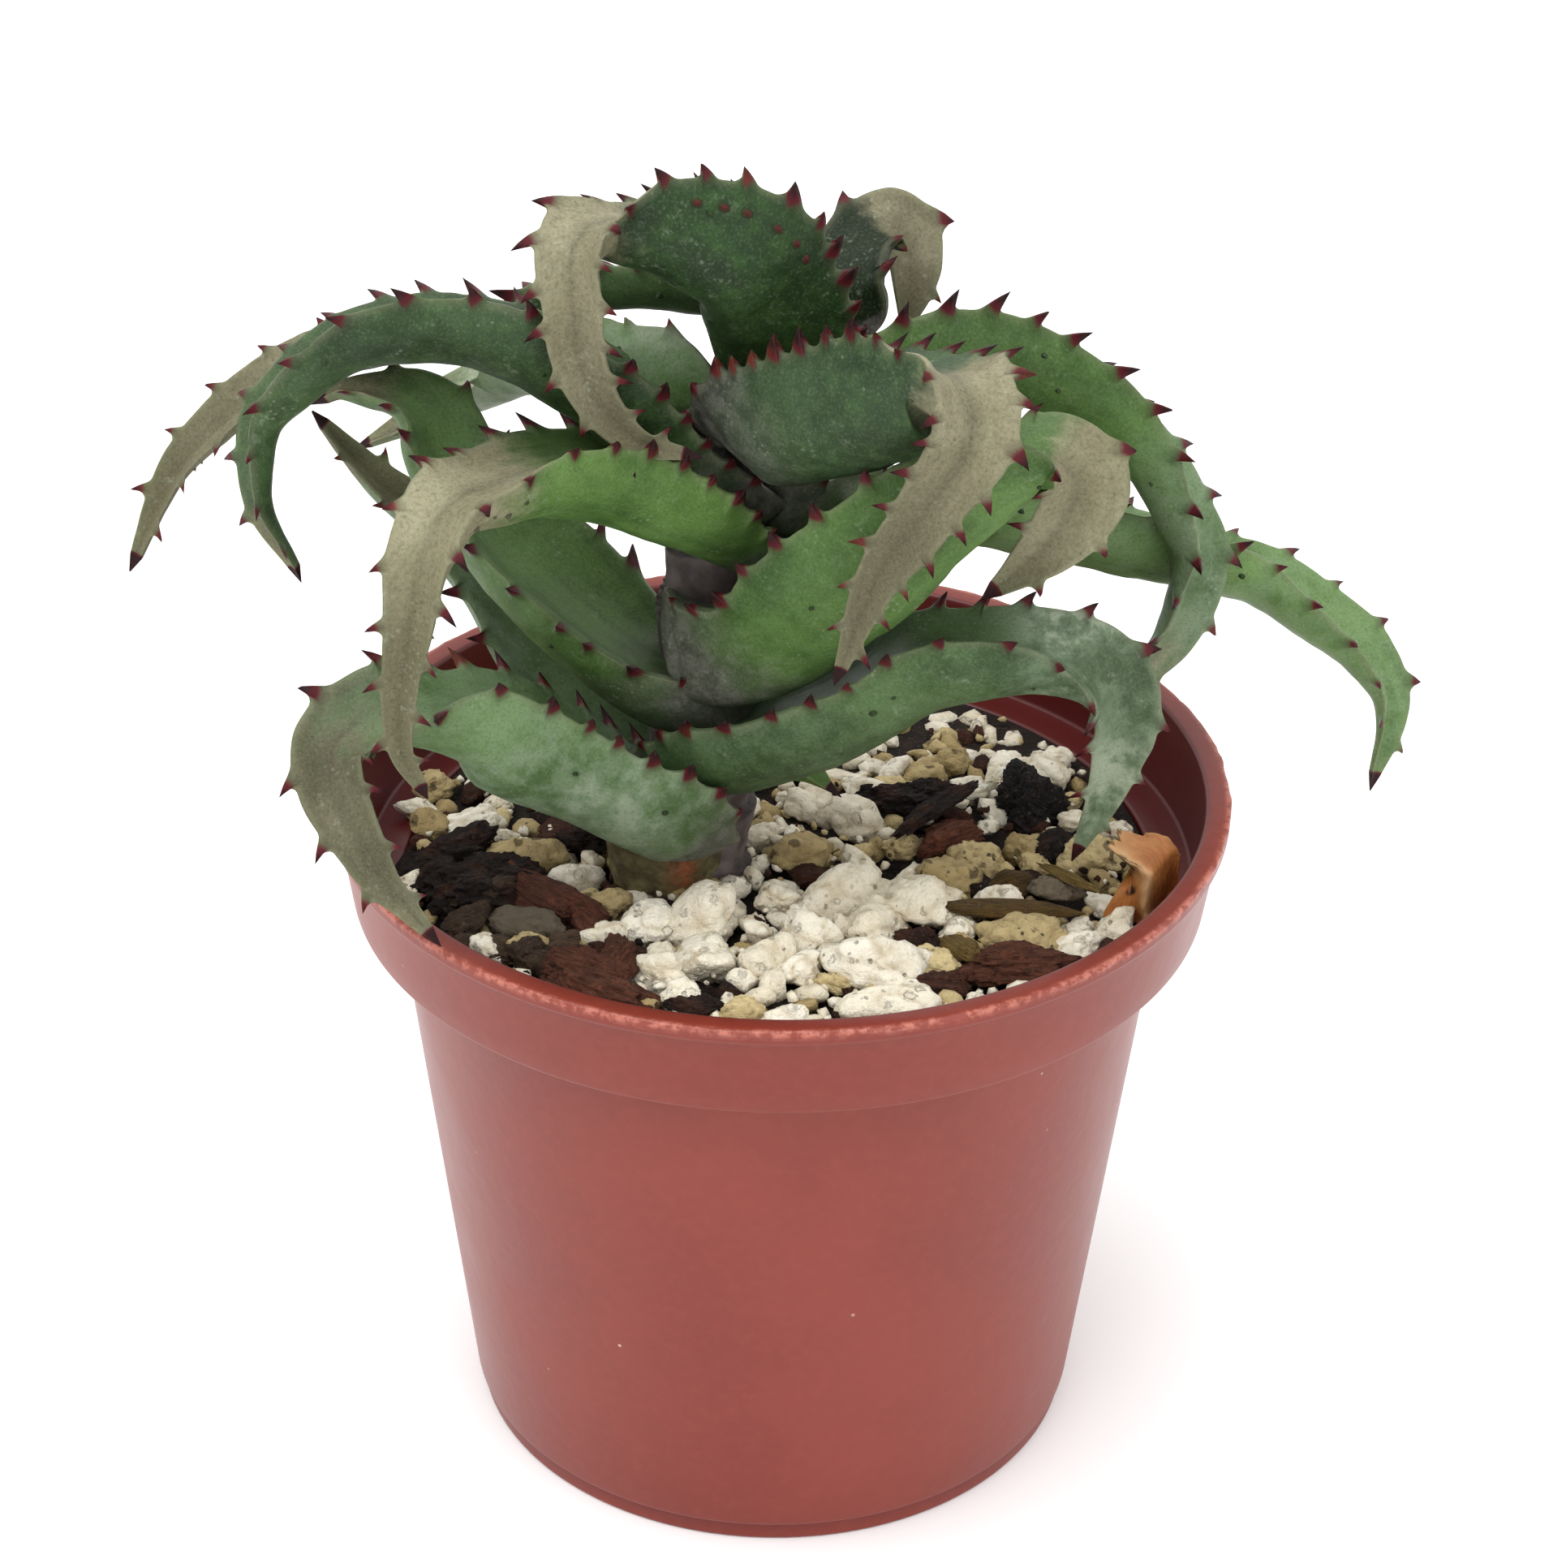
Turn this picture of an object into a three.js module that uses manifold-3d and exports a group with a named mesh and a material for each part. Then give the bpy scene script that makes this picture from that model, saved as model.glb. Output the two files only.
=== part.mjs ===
// A young Aloe castilloniae in a small terracotta-coloured plastic nursery pot.
// Millimetres, +Z up. The origin is the middle of the pot's underside, and the
// plant is seen from the front along +Y. Every separate piece is its own mesh.
import * as THREE from 'three';
import { mergeVertices } from 'three/addons/utils/BufferGeometryUtils.js';
import Module from 'manifold-3d';

const wasm = await Module();
wasm.setup();

// Driving dimensions of the pot
const POT_HEIGHT = 68;
const RIM_OUTER_RADIUS = 42.5;
const RIM_BAND_WIDTH = 2.4;
const RIM_BAND_HEIGHT = 1.6;
const COLLAR_HEIGHT = 10;
const COLLAR_LOWER_RADIUS = 40.6;
const BODY_TOP_RADIUS = 36.7;
const BODY_BOTTOM_RADIUS = 30.1;
const FOOT_RADIUS = 29.6;
const FOOT_HEIGHT = 2.1;
const WALL = 1.1;
const FLOOR_THICKNESS = 1.4;
const POT_SIDES = 40;
const DRAIN_HOLES = 6;
const DRAIN_HOLE_RADIUS = 3;
const DRAIN_CIRCLE_RADIUS = 18;
const DRAIN_HOLE_SIDES = 12;
const BAND_STEP = 0.7;

// Driving dimensions of the filling
const FILL_LEVEL = 60.6;
const FILL_SLOPE = -0.05;
const FILL_ROUGHNESS = 0.5;
const FILL_SIDES = 36;
const FILL_CELLS = 8;
const GRAIN_COUNT = 78;
const GRAIN_FIELD_RADIUS = 37;
const GRAIN_RADIUS = 3.6;
const GRAIN_SINK = 0.7;
const GRAIN_SEED = 43;
const GRAIN_SHARES = [1.3, 1.05, 0.85];
const BARK_TURNS = [0.1, 0.15];
const BARK = [
  { name: 'bark_chip_left', at: [-26, -9, 61.5], size: [7, 4.5, 2.6], turn: 0.5 },
  { name: 'bark_chip_front_left', at: [-17, -27.5, 62.5], size: [6.5, 3.6, 2.4], turn: -0.35 },
  { name: 'bark_chip_back', at: [14, 9, 60.5], size: [6, 2.8, 2], turn: 0.4 },
  { name: 'charcoal_lump', at: [24, 8, 61], size: [3.8, 3.6, 3.2], turn: 0.2 },
];
const DRY_LEAF_AT = [33.2, -11.5, 60.4];
const DRY_LEAF_RADIUS = 3.4;
const DRY_LEAF_THICKNESS = 0.8;
const DRY_LEAF_HEIGHT = 7.5;
const DRY_LEAF_ARC = [0.3, 4.1];
const DRY_LEAF_TILT = 0.2;
const LITTER_GAP = 0.5;

// The gap between pieces that touch, and how far a mesh may be simplified
const CLEARANCE = 0.3;
const FINE_TOLERANCE = 0.06;
const COARSE_TOLERANCE = 0.15;

// Colours and roughness
const POT_LOOK = { color: 0xa8574b, roughness: 0.42, metalness: 0 };
const LEAF_LOOK = { color: 0x4f7a4a, roughness: 0.5, metalness: 0 };
const STEM_LOOK = { color: 0x6b665c, roughness: 0.7, metalness: 0 };
const SOIL_LOOK = { color: 0x8f8474, roughness: 0.95, metalness: 0 };
const BARK_LOOK = { color: 0x4a3226, roughness: 0.9, metalness: 0 };
const DRY_LEAF_LOOK = { color: 0xb5793f, roughness: 0.6, metalness: 0 };

// Driving dimensions of the plant
const STEM_RADIUS = 4.6;
const STEM_SIDES = 12;
const STEM_STEPS = 9;
const STEM_TAPER = 0.9;
const LEAF_RINGS = 19;
const LEAF_LOOK_AHEAD = 0.012;
const VIEWER = new THREE.Vector3(0, -0.857, 0.515);
const LEFT = -1;
const RIGHT = 1;
const CHANNEL_SHARES = [0.1, 0.5];
const CHANNEL_SIDES = 0.75;
const TOOTH_HEIGHT = 2.3;
const TOOTH_BASE = 2.8;
const TOOTH_THICKNESS = 1.3;
const TOOTH_PITCH = 4.1;
const TOOTH_CROWDING = 1.4;
const TOOTH_TILT = 0.65;
const TOOTH_ROOT = 1.1;
const TOOTH_ROOT_SHARE = 0.6;
const TOOTH_SHRINK = 0.35;
const TOOTH_LEAN = 0.35;
const TOOTH_RISE = 0.15;
const TOOTH_TOP = 0.05;
const TOOTH_BELOW = 0.25;
const TOOTH_STAGGER = 0.25;
const TOOTH_START = 0.2;
const BARE_BASE = 7;
const MIN_THICKNESS = 0.9;

// The stem leans a little to the right as it climbs out of the soil
const STEM_PATH = [
  [-8.5, -3, 48], [-8, -3.5, 62], [-7, -4, 80], [-6, -4.5, 92.5], [-4, -4, 104],
  [-0.5, -3, 112.5], [0.5, -2.5, 114],
];

// Each leaf runs along its midrib from the stem to the tip, to the hand it grows to.
// Its sizes are widths and depths, and its turns how far its upper side turns from
// edge-on to face the viewer, in degrees. Both are spread evenly over its length.
const LEAVES = [
  { name: 'leaf_low_front_left', hand: LEFT,
    sizes: [[10, 8.5], [12.5, 8.8], [12.5, 9.6], [8, 5], [5.4, 3], [1.2, 0.9]],
    path: [[-5, -9, 69.8], [-6.4, -10.3, 73], [-9, -12, 76], [-13, -13.5, 79], [-18.5, -15, 83.5],
      [-23, -17, 87], [-27, -19, 89], [-31.5, -21, 89.2], [-36, -23, 88.4], [-39.3, -26, 86.4],
      [-39, -28.5, 83.6], [-37.6, -30, 81], [-36.2, -31.5, 79], [-34.5, -32.5, 76.3],
      [-32.5, -32.5, 73.8], [-30.5, -33, 71.5]],
    turns: [4, 4, 4, 5, 8, 16, 60, 80, 88, 90, 90] },
  { name: 'leaf_low_right', hand: RIGHT,
    sizes: [[9, 6.5], [12, 7.5], [12.5, 7.5], [9.5, 6], [6, 3], [1.2, 0.9]],
    path: [[-12, -7, 76], [-8.5, -9, 79], [-2.5, -12, 82.5], [5, -13, 87], [11, -14, 91.5],
      [17.5, -15, 93.2], [23, -15, 92.5], [27.3, -15, 90.3], [30.3, -14.5, 87], [31.2, -14, 83],
      [30.5, -13.5, 78.5], [29.5, -13, 74], [27.5, -12.5, 68.5]],
    turns: [4, 8, 12, 15, 16, 18, 30, 60, 72, 80, 85] },
  { name: 'leaf_low_back_left', hand: LEFT,
    sizes: [[10, 6], [12, 6.5], [12, 6], [7, 4], [4, 3], [1.2, 0.9]],
    path: [[-7, -0.5, 70.5], [-11.5, 0, 73], [-16, 1, 77], [-20.5, 3, 80.5], [-24.5, 5, 84.5],
      [-28, 7, 87], [-31.5, 8.5, 89.5], [-34.5, 10, 91.5], [-37.5, 11, 93.5], [-40.5, 12, 96],
      [-43, 12.5, 98.5]],
    turns: [75, 72, 70, 65, 60, 60] },
  { name: 'leaf_mid_back_left', hand: LEFT,
    sizes: [[10.5, 7], [13.5, 7], [13, 7], [11, 5.5], [8, 3.5], [1.2, 0.9]],
    path: [[-4.5, -5, 81.5], [-7, -6.5, 83.5], [-9.5, -6.5, 84.8], [-12, -6, 86],
      [-15.5, -4.5, 88.5], [-19.5, -3.5, 92], [-23, -2, 94.5], [-26.5, 0, 98], [-30, 3, 101],
      [-31.5, 5, 103.5], [-34, 6.5, 105], [-37.5, 7.5, 105], [-41, 8, 104.5], [-42.5, 8, 103.5]],
    turns: [5, 30, 42, 48, 40, 25] },
  { name: 'leaf_mid_front_left', hand: LEFT,
    sizes: [[9, 5.5], [13, 7.5], [12.5, 6.5], [7, 4], [3.8, 2.6], [1.2, 0.9]],
    path: [[-1, -5, 97], [-4, -7, 101], [-7.5, -9, 104.5], [-12, -11.5, 108], [-16.5, -14.5, 110.5],
      [-21, -18.5, 112], [-25, -23, 112], [-28.3, -27, 111.4], [-30.5, -30.5, 107.4],
      [-31.5, -32, 101], [-32.5, -32, 94], [-32.5, -31.5, 89], [-31, -30, 84.5]],
    turns: [10, 9, 8, 10, 20, 36, 62, 78, 86, 90, 90] },
  { name: 'leaf_upper_left', hand: LEFT,
    sizes: [[9, 6], [12, 7], [12, 6.3], [9, 5], [5.5, 3], [1.2, 0.9]],
    path: [[-1, -5.5, 101.5], [-4, -6.5, 104.5], [-6.5, -7, 107], [-9, -7.5, 110.2],
      [-12.5, -8.5, 114], [-16.5, -10, 117.5], [-21, -11, 120.5], [-26.5, -12, 122.5],
      [-32, -13, 123], [-36.5, -13.5, 122], [-40.5, -14, 119.5], [-44, -14, 116], [-46.5, -14, 112],
      [-47, -14, 107.5], [-46.5, -13.5, 102.5], [-43.5, -12, 96]],
    turns: [11, 10, 8, 12, 22, 25] },
  { name: 'leaf_upper_back_left', hand: LEFT,
    sizes: [[8, 3.5], [9.5, 3.6], [9, 3.6], [6.5, 3.3], [4.5, 2.5], [1.2, 0.9]],
    path: [[2, 0, 117.5], [-3, 2, 118], [-8.5, 4, 118], [-15.5, 6, 117.4], [-21, 7, 116],
      [-27, 8, 112.5], [-33.5, 9, 110.5], [-38.5, 10, 109], [-43.5, 11, 107], [-48.5, 11.5, 103.5],
      [-53, 11, 99.5], [-57, 10.5, 95], [-59, 10, 91], [-61, 9, 86]],
    turns: [5, 5, 10, 30, 60, 70] },
  { name: 'leaf_far_back_left', hand: LEFT,
    sizes: [[10, 7], [11, 6.5], [11, 5.5], [9.5, 4.5], [7, 3], [1.2, 0.9]],
    path: [[-5.5, -4, 109], [-6.5, -3, 111], [-8.5, -1, 112.3], [-12, 2.5, 111.8], [-15, 7, 110],
      [-21, 14, 106.5], [-25, 18, 104], [-29, 22, 99.5], [-33.5, 24, 96], [-37.5, 25, 92.5],
      [-40.5, 25, 90.5]],
    turns: [0, -5, 0, 15, 30, 40] },
  { name: 'leaf_crown_left', hand: LEFT,
    sizes: [[11, 11], [14.5, 11], [13.5, 9], [6.5, 4], [4.5, 2.6], [1.2, 0.9]],
    path: [[5, -2.5, 113], [4, -4, 118.5], [2.5, -5, 123], [-0.5, -6, 127.5], [-4.5, -8, 130.5],
      [-9.5, -10, 132], [-13.5, -12, 132.2], [-17, -14.5, 131.7], [-18, -16.5, 130.7],
      [-18.5, -18, 129], [-18, -19, 125], [-17.5, -19, 120], [-15.5, -19, 115.5],
      [-12.5, -19, 112.5], [-8.5, -18, 111]],
    turns: [-10, -6, -3, 0, 0, 10, 62, 80, 85, 85, 85], pitch: 2.9 },
  { name: 'leaf_crown_right', hand: RIGHT,
    sizes: [[7, 3.5], [8, 3.5], [7.5, 3], [7, 2.6], [4.8, 2], [1.2, 0.9]],
    path: [[6.5, 2, 114], [5, 3, 117], [5.2, 5, 119.5], [7, 8, 121.2], [9.5, 9.5, 121.5],
      [11.2, 9.5, 120], [11.6, 8.5, 117.5], [11.4, 7.5, 115], [10.8, 6.5, 112]],
    turns: [60, 60, 50, 50, 70, 80] },
  { name: 'leaf_upper_right', hand: RIGHT,
    sizes: [[9, 6], [12, 7], [11.5, 6.5], [9, 5], [7, 3.5], [2, 1]],
    path: [[0.5, -1, 110], [6, 0, 112.5], [11.5, 2, 114], [17, 4, 114], [22, 5, 112.5],
      [27, 5, 110], [32, 5, 106], [35.5, 4.5, 101.5], [38, 4, 96], [39.5, 3.5, 91], [38.5, 3, 85.5],
      [36, 2, 81], [31.5, 0, 78.5]],
    turns: [0, 0, 3, 10, 35, 50] },
  { name: 'leaf_mid_back_right', hand: RIGHT,
    sizes: [[9, 5], [12, 6], [12, 6.5], [10.5, 5.5], [8, 4], [1.2, 0.9]],
    path: [[-2, -5.5, 102], [1.5, -4, 101.5], [5.5, -0.5, 100.8], [11.5, 3.5, 99], [21.5, 8, 95.5],
      [32, 11, 91.5], [41.5, 13, 87.5], [46.5, 13, 85.5], [52, 12, 81.5], [56.5, 11, 77.5],
      [59, 10, 73], [59, 9, 69.5], [57.5, 8, 64.5]],
    turns: [10, 8, 9, 9, 30, 50] },
  { name: 'leaf_upper_front_right', hand: RIGHT,
    sizes: [[9, 8.5], [13, 10.5], [12.5, 9.5], [7.3, 4], [4.6, 2.8], [1.2, 0.9]],
    path: [[-5.5, -6, 109], [-5, -7.5, 112], [-3.5, -9, 114], [-1, -10.5, 115.5],
      [3.5, -13.5, 118.3], [8.5, -17, 121], [12.5, -21, 122.5], [15, -25, 123], [16, -28, 120.5],
      [15.5, -29, 117.5], [12, -29, 111.5], [8, -28, 104.5], [5, -27, 95]],
    turns: [0, 0, 8, 70, 85, 90], pitch: 2.9 },
  { name: 'leaf_mid_right', hand: RIGHT,
    sizes: [[10, 9.5], [14, 11], [14, 10.5], [10.5, 7.5], [8, 3.5], [1.6, 1]],
    path: [[-7.4, -6, 90.8], [-5.4, -8.3, 92], [-3.2, -10.6, 94.5], [-0.5, -12.5, 98.5],
      [5, -15, 104.5], [10.5, -16.5, 109.5], [16, -17, 112.3], [20.3, -17, 113], [23.8, -17, 112.2],
      [26, -18, 110], [26, -18.5, 107.5], [24, -18.5, 104], [21, -18, 100.5], [18.5, -17.5, 98]],
    turns: [0, 0, 0, 8, 65, 85] },
];

// A seeded draw, so that every build gives the same grains
function seededDraw(seed) {
  let state = seed;
  return () => {
    state = (state + 0x6d2b79f5) | 0;
    let mixed = Math.imul(state ^ (state >>> 15), 1 | state);
    mixed = (mixed + Math.imul(mixed ^ (mixed >>> 7), 61 | mixed)) ^ mixed;
    return ((mixed ^ (mixed >>> 14)) >>> 0) / 4294967296;
  };
}

// A closed three.js geometry as a solid that can be joined and cut
function solidOf(geometry) {
  const bare = geometry.clone();
  bare.deleteAttribute('normal');
  bare.deleteAttribute('uv');
  const merged = mergeVertices(bare, 1e-4);
  return new wasm.Manifold(new wasm.Mesh({
    numProp: 3,
    vertProperties: new Float32Array(merged.attributes.position.array),
    triVerts: new Uint32Array(merged.index.array),
  }));
}

// The solid's largest body as a named mesh, with loose scraps dropped
function meshOf(name, solid, look, tolerance = FINE_TOLERANCE) {
  const bodies = solid.asOriginal().simplify(tolerance).decompose();
  bodies.sort((a, b) => b.volume() - a.volume());
  const cut = bodies[0].getMesh();
  const geometry = new THREE.BufferGeometry();
  const points = new THREE.BufferAttribute(new Float32Array(cut.vertProperties), 3);
  geometry.setAttribute('position', points);
  geometry.setIndex(new THREE.BufferAttribute(new Uint32Array(cut.triVerts), 1));
  geometry.computeVertexNormals();
  const mesh = new THREE.Mesh(geometry, new THREE.MeshStandardMaterial(look));
  mesh.name = name;
  return mesh;
}

// Rings of points with the same count, joined into a closed skin with fans at both ends
function skinOverRings(rings) {
  const count = rings[0].length;
  const positions = [];
  rings.forEach((ring) => ring.forEach((point) => positions.push(point.x, point.y, point.z)));
  const indices = [];
  for (let i = 0; i < rings.length - 1; i += 1) {
    for (let j = 0; j < count; j += 1) {
      const a = i * count + j;
      const b = i * count + ((j + 1) % count);
      indices.push(a, b, a + count, b, b + count, a + count);
    }
  }
  const ends = [[rings[0], 0, false], [rings[rings.length - 1], (rings.length - 1) * count, true]];
  ends.forEach(([ring, first, forward]) => {
    const middle = new THREE.Vector3();
    ring.forEach((point) => middle.addScaledVector(point, 1 / count));
    const hub = positions.length / 3;
    positions.push(middle.x, middle.y, middle.z);
    for (let j = 0; j < count; j += 1) {
      const a = first + j;
      const b = first + ((j + 1) % count);
      indices.push(...(forward ? [a, b, hub] : [b, a, hub]));
    }
  });
  const geometry = new THREE.BufferGeometry();
  geometry.setAttribute('position', new THREE.Float32BufferAttribute(positions, 3));
  geometry.setIndex(indices);
  return geometry;
}

const vectors = (rows) => rows.map((row) => new THREE.Vector3(...row));
const evenCurve = (rows) => new THREE.CatmullRomCurve3(vectors(rows), false, 'catmullrom');

// The frame of a leaf at share s of its length: place, way along, way across, way its upper side looks
function leafFrame(leaf, s) {
  const place = leaf.curve.getPointAt(s);
  const along = leaf.curve.getPointAt(Math.min(1, s + LEAF_LOOK_AHEAD))
    .sub(leaf.curve.getPointAt(Math.max(0, s - LEAF_LOOK_AHEAD))).normalize();
  const shown = VIEWER.clone().addScaledVector(along, -VIEWER.dot(along)).normalize();
  const turn = THREE.MathUtils.degToRad(leaf.turnCurve.getPoint(s).x);
  const up = new THREE.Vector3().crossVectors(shown, along).multiplyScalar(leaf.hand * Math.cos(turn))
    .addScaledVector(shown, Math.sin(turn));
  const across = new THREE.Vector3().crossVectors(up, along).normalize();
  return { place, along, across, up, turn };
}

const leafHalfWidth = (leaf, s) => leaf.sizeCurve.getPoint(s).x / 2;
const leafDepth = (leaf, s) => leaf.sizeCurve.getPoint(s).y;

// How deep the upper side is hollowed, which leaves the least thickness below
const leafHollow = (leaf, s) => CHANNEL_SIDES * Math.min(
  leafHalfWidth(leaf, s) * (CHANNEL_SHARES[0] + CHANNEL_SHARES[1] * s),
  leafDepth(leaf, s) - MIN_THICKNESS + 0.1,
);

// The section of a leaf: a deep round underside between the two margins and a hollow upper side
function leafSection(leaf, s, swell) {
  const { place, along, across, up } = leafFrame(leaf, s);
  if (s === 0) place.addScaledVector(along, -swell);
  if (s === 1) place.addScaledVector(along, swell);
  const half = leafHalfWidth(leaf, s) + swell;
  const depth = leafDepth(leaf, s) + 2 * swell;
  const upperLevel = swell > 0 ? swell : -leafHollow(leaf, s);
  const underside = [0, 1, 2, 3, 4].map((i) => Math.PI * (1 + i / 4))
    .map((angle) => [half * Math.cos(angle), depth * Math.sin(angle) + swell]);
  const upperSide = [[half / 2, upperLevel], [-half / 2, upperLevel]];
  return [...underside, ...upperSide]
    .map(([x, z]) => place.clone().addScaledVector(across, x).addScaledVector(up, z));
}

// One margin tooth: a three-sided thorn that points outwards and a little to the tip, and is tilted
// to the upper side where the leaf is seen from its edge
function toothSolid(leaf, s, side) {
  const { place, along, across, up, turn } = leafFrame(leaf, s);
  const tilt = TOOTH_TILT * (1 - Math.abs(Math.sin(turn)));
  const shrink = 1 - TOOTH_SHRINK * s;
  const half = leafHalfWidth(leaf, s);
  const root = half - Math.min(TOOTH_ROOT, half * TOOTH_ROOT_SHARE);
  const corner = (outward, forward, rise) => place.clone()
    .addScaledVector(across, side * outward)
    .addScaledVector(along, forward)
    .addScaledVector(up, rise);
  const height = TOOTH_HEIGHT * shrink;
  const corners = [
    corner(root, -TOOTH_BASE / 2 * shrink, TOOTH_TOP),
    corner(root, 0, -TOOTH_BELOW - TOOTH_THICKNESS * shrink),
    corner(root, TOOTH_BASE / 2 * shrink, TOOTH_TOP),
    corner(half + height * Math.cos(tilt), TOOTH_LEAN * height, TOOTH_RISE + height * Math.sin(tilt)),
  ];
  const faces = side < 0 ? [0, 1, 3, 1, 2, 3, 2, 0, 3, 2, 1, 0] : [1, 0, 3, 2, 1, 3, 0, 2, 3, 0, 1, 2];
  const geometry = new THREE.BufferGeometry().setFromPoints(corners);
  geometry.setIndex(faces);
  return solidOf(geometry);
}

function leafBlade(leaf, swell) {
  const rings = [];
  for (let i = 0; i <= LEAF_RINGS; i += 1) rings.push(leafSection(leaf, i / LEAF_RINGS, swell));
  return solidOf(skinOverRings(rings));
}

// The margin teeth of a leaf, left and right by turns, without those that would stand in a neighbour
function leafTeeth(leaf, neighbours) {
  const teeth = [];
  const count = Math.floor(leaf.length / (leaf.pitch ?? TOOTH_PITCH));
  for (let k = 1; k < count; k += 1) {
    [-1, 1].forEach((side) => {
      const s = ((k + TOOTH_STAGGER * side + TOOTH_START) / count) ** TOOTH_CROWDING;
      const tooth = toothSolid(leaf, s, side);
      if (s * leaf.length > BARE_BASE && tooth.intersect(neighbours).isEmpty()) teeth.push(tooth);
    });
  }
  return teeth;
}

// The stem: a round tube along its path, with a rounded top
function stemSolid(swell) {
  const curve = new THREE.CatmullRomCurve3(vectors(STEM_PATH));
  const rings = [];
  for (let i = 0; i <= STEM_STEPS; i += 1) {
    const s = i / STEM_STEPS;
    const place = curve.getPointAt(s);
    const radius = (STEM_RADIUS - STEM_TAPER * s) * (s === 1 ? 0.5 : 1) + swell;
    rings.push(Array.from({ length: STEM_SIDES }, (_, j) => {
      const angle = 2 * Math.PI * j / STEM_SIDES;
      return new THREE.Vector3(radius * Math.cos(angle), radius * Math.sin(angle), 0).add(place);
    }));
  }
  return solidOf(skinOverRings(rings));
}

// The pot: one turned wall with a collar, a rim band and a foot, and drainage holes in its floor
function potSolid() {
  const wallInside = (radius) => radius - WALL;
  const shoulder = POT_HEIGHT - COLLAR_HEIGHT;
  const profile = [
    [0, 0], [FOOT_RADIUS, 0], [FOOT_RADIUS, FOOT_HEIGHT], [BODY_BOTTOM_RADIUS, FOOT_HEIGHT],
    [BODY_TOP_RADIUS, shoulder], [COLLAR_LOWER_RADIUS, shoulder],
    [RIM_OUTER_RADIUS - BAND_STEP, POT_HEIGHT - RIM_BAND_HEIGHT],
    [RIM_OUTER_RADIUS, POT_HEIGHT - RIM_BAND_HEIGHT],
    [RIM_OUTER_RADIUS, POT_HEIGHT], [RIM_OUTER_RADIUS - RIM_BAND_WIDTH, POT_HEIGHT],
    [wallInside(COLLAR_LOWER_RADIUS), shoulder + WALL], [wallInside(BODY_TOP_RADIUS), shoulder + WALL],
    [wallInside(BODY_BOTTOM_RADIUS), FLOOR_THICKNESS], [0, FLOOR_THICKNESS],
  ].map(([x, y]) => new THREE.Vector2(x, y));
  const turned = new THREE.LatheGeometry(profile, POT_SIDES);
  turned.rotateX(Math.PI / 2);
  let pot = solidOf(turned);
  for (let k = 0; k < DRAIN_HOLES; k += 1) {
    const angle = 2 * Math.PI * k / DRAIN_HOLES;
    const drill = new THREE.CylinderGeometry(
      DRAIN_HOLE_RADIUS, DRAIN_HOLE_RADIUS, 3 * FLOOR_THICKNESS, DRAIN_HOLE_SIDES,
    );
    drill.rotateX(Math.PI / 2);
    drill.translate(DRAIN_CIRCLE_RADIUS, 0, FLOOR_THICKNESS / 2);
    drill.rotateZ(angle);
    pot = pot.subtract(solidOf(drill));
  }
  return pot;
}

const fillLevel = (x, y) => FILL_LEVEL + FILL_SLOPE * y
  + FILL_ROUGHNESS * (Math.sin(x * 0.55 + 1.3) * Math.cos(y * 0.47) + 0.6 * Math.sin(x * 0.21 - y * 0.33));

// The room inside the pot that the filling may take, a clearance off the wall and the inner ledge
function potRoom() {
  const gap = CLEARANCE + COARSE_TOLERANCE;
  const ledge = POT_HEIGHT - COLLAR_HEIGHT + WALL + gap;
  const profile = [
    [0, FLOOR_THICKNESS + gap], [BODY_BOTTOM_RADIUS - WALL - gap, FLOOR_THICKNESS + gap],
    [BODY_TOP_RADIUS - WALL - gap, ledge], [COLLAR_LOWER_RADIUS - WALL - gap, ledge],
    [COLLAR_LOWER_RADIUS - WALL - gap, POT_HEIGHT], [0, POT_HEIGHT],
  ].map(([x, y]) => new THREE.Vector2(x, y));
  const turned = new THREE.LatheGeometry(profile, FILL_SIDES);
  turned.rotateX(Math.PI / 2);
  return solidOf(turned);
}

// Everything under the rough surface of the filling: a box whose top corners follow the level
function groundSolid() {
  const span = 2 * RIM_OUTER_RADIUS;
  const box = new THREE.BoxGeometry(span, span, POT_HEIGHT, FILL_CELLS, FILL_CELLS, 1);
  const corners = box.attributes.position;
  for (let i = 0; i < corners.count; i += 1) {
    if (corners.getZ(i) > 0) corners.setZ(i, fillLevel(corners.getX(i), corners.getY(i)));
    else corners.setZ(i, 0);
  }
  return solidOf(box);
}

// A lump of stone or bark: a twenty-sided pebble, stretched and turned
function lumpSolid(at, size, turns, swell) {
  const pebble = new THREE.IcosahedronGeometry(1, 0);
  pebble.scale(size[0] + swell, size[1] + swell, size[2] + swell);
  pebble.rotateX(turns[0]);
  pebble.rotateY(turns[1]);
  pebble.rotateZ(turns[2]);
  pebble.translate(...at);
  return solidOf(pebble);
}

// Pumice grains on a sunflower spiral over the surface, joined to one crust
function grainSolids() {
  const draw = seededDraw(GRAIN_SEED);
  const goldenAngle = Math.PI * (3 - Math.sqrt(5));
  const grains = [];
  for (let k = 0; k < GRAIN_COUNT; k += 1) {
    const radius = GRAIN_FIELD_RADIUS * Math.sqrt((k + 0.5) / GRAIN_COUNT);
    const x = radius * Math.cos(k * goldenAngle) + draw() - 0.5;
    const y = radius * Math.sin(k * goldenAngle) + draw() - 0.5;
    const size = GRAIN_SHARES.map((share) => GRAIN_RADIUS * share * (0.85 + 0.3 * draw()));
    const turns = [draw() * 0.8, draw() * 0.8, draw() * Math.PI];
    const lift = GRAIN_SINK * (0.6 + 0.8 * draw());
    grains.push(lumpSolid([x, y, fillLevel(x, y) + lift], size, turns, 0));
  }
  return wasm.Manifold.union(grains);
}

const barkSolid = (chip, swell) => lumpSolid(chip.at, chip.size, [...BARK_TURNS, chip.turn], swell);

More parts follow.
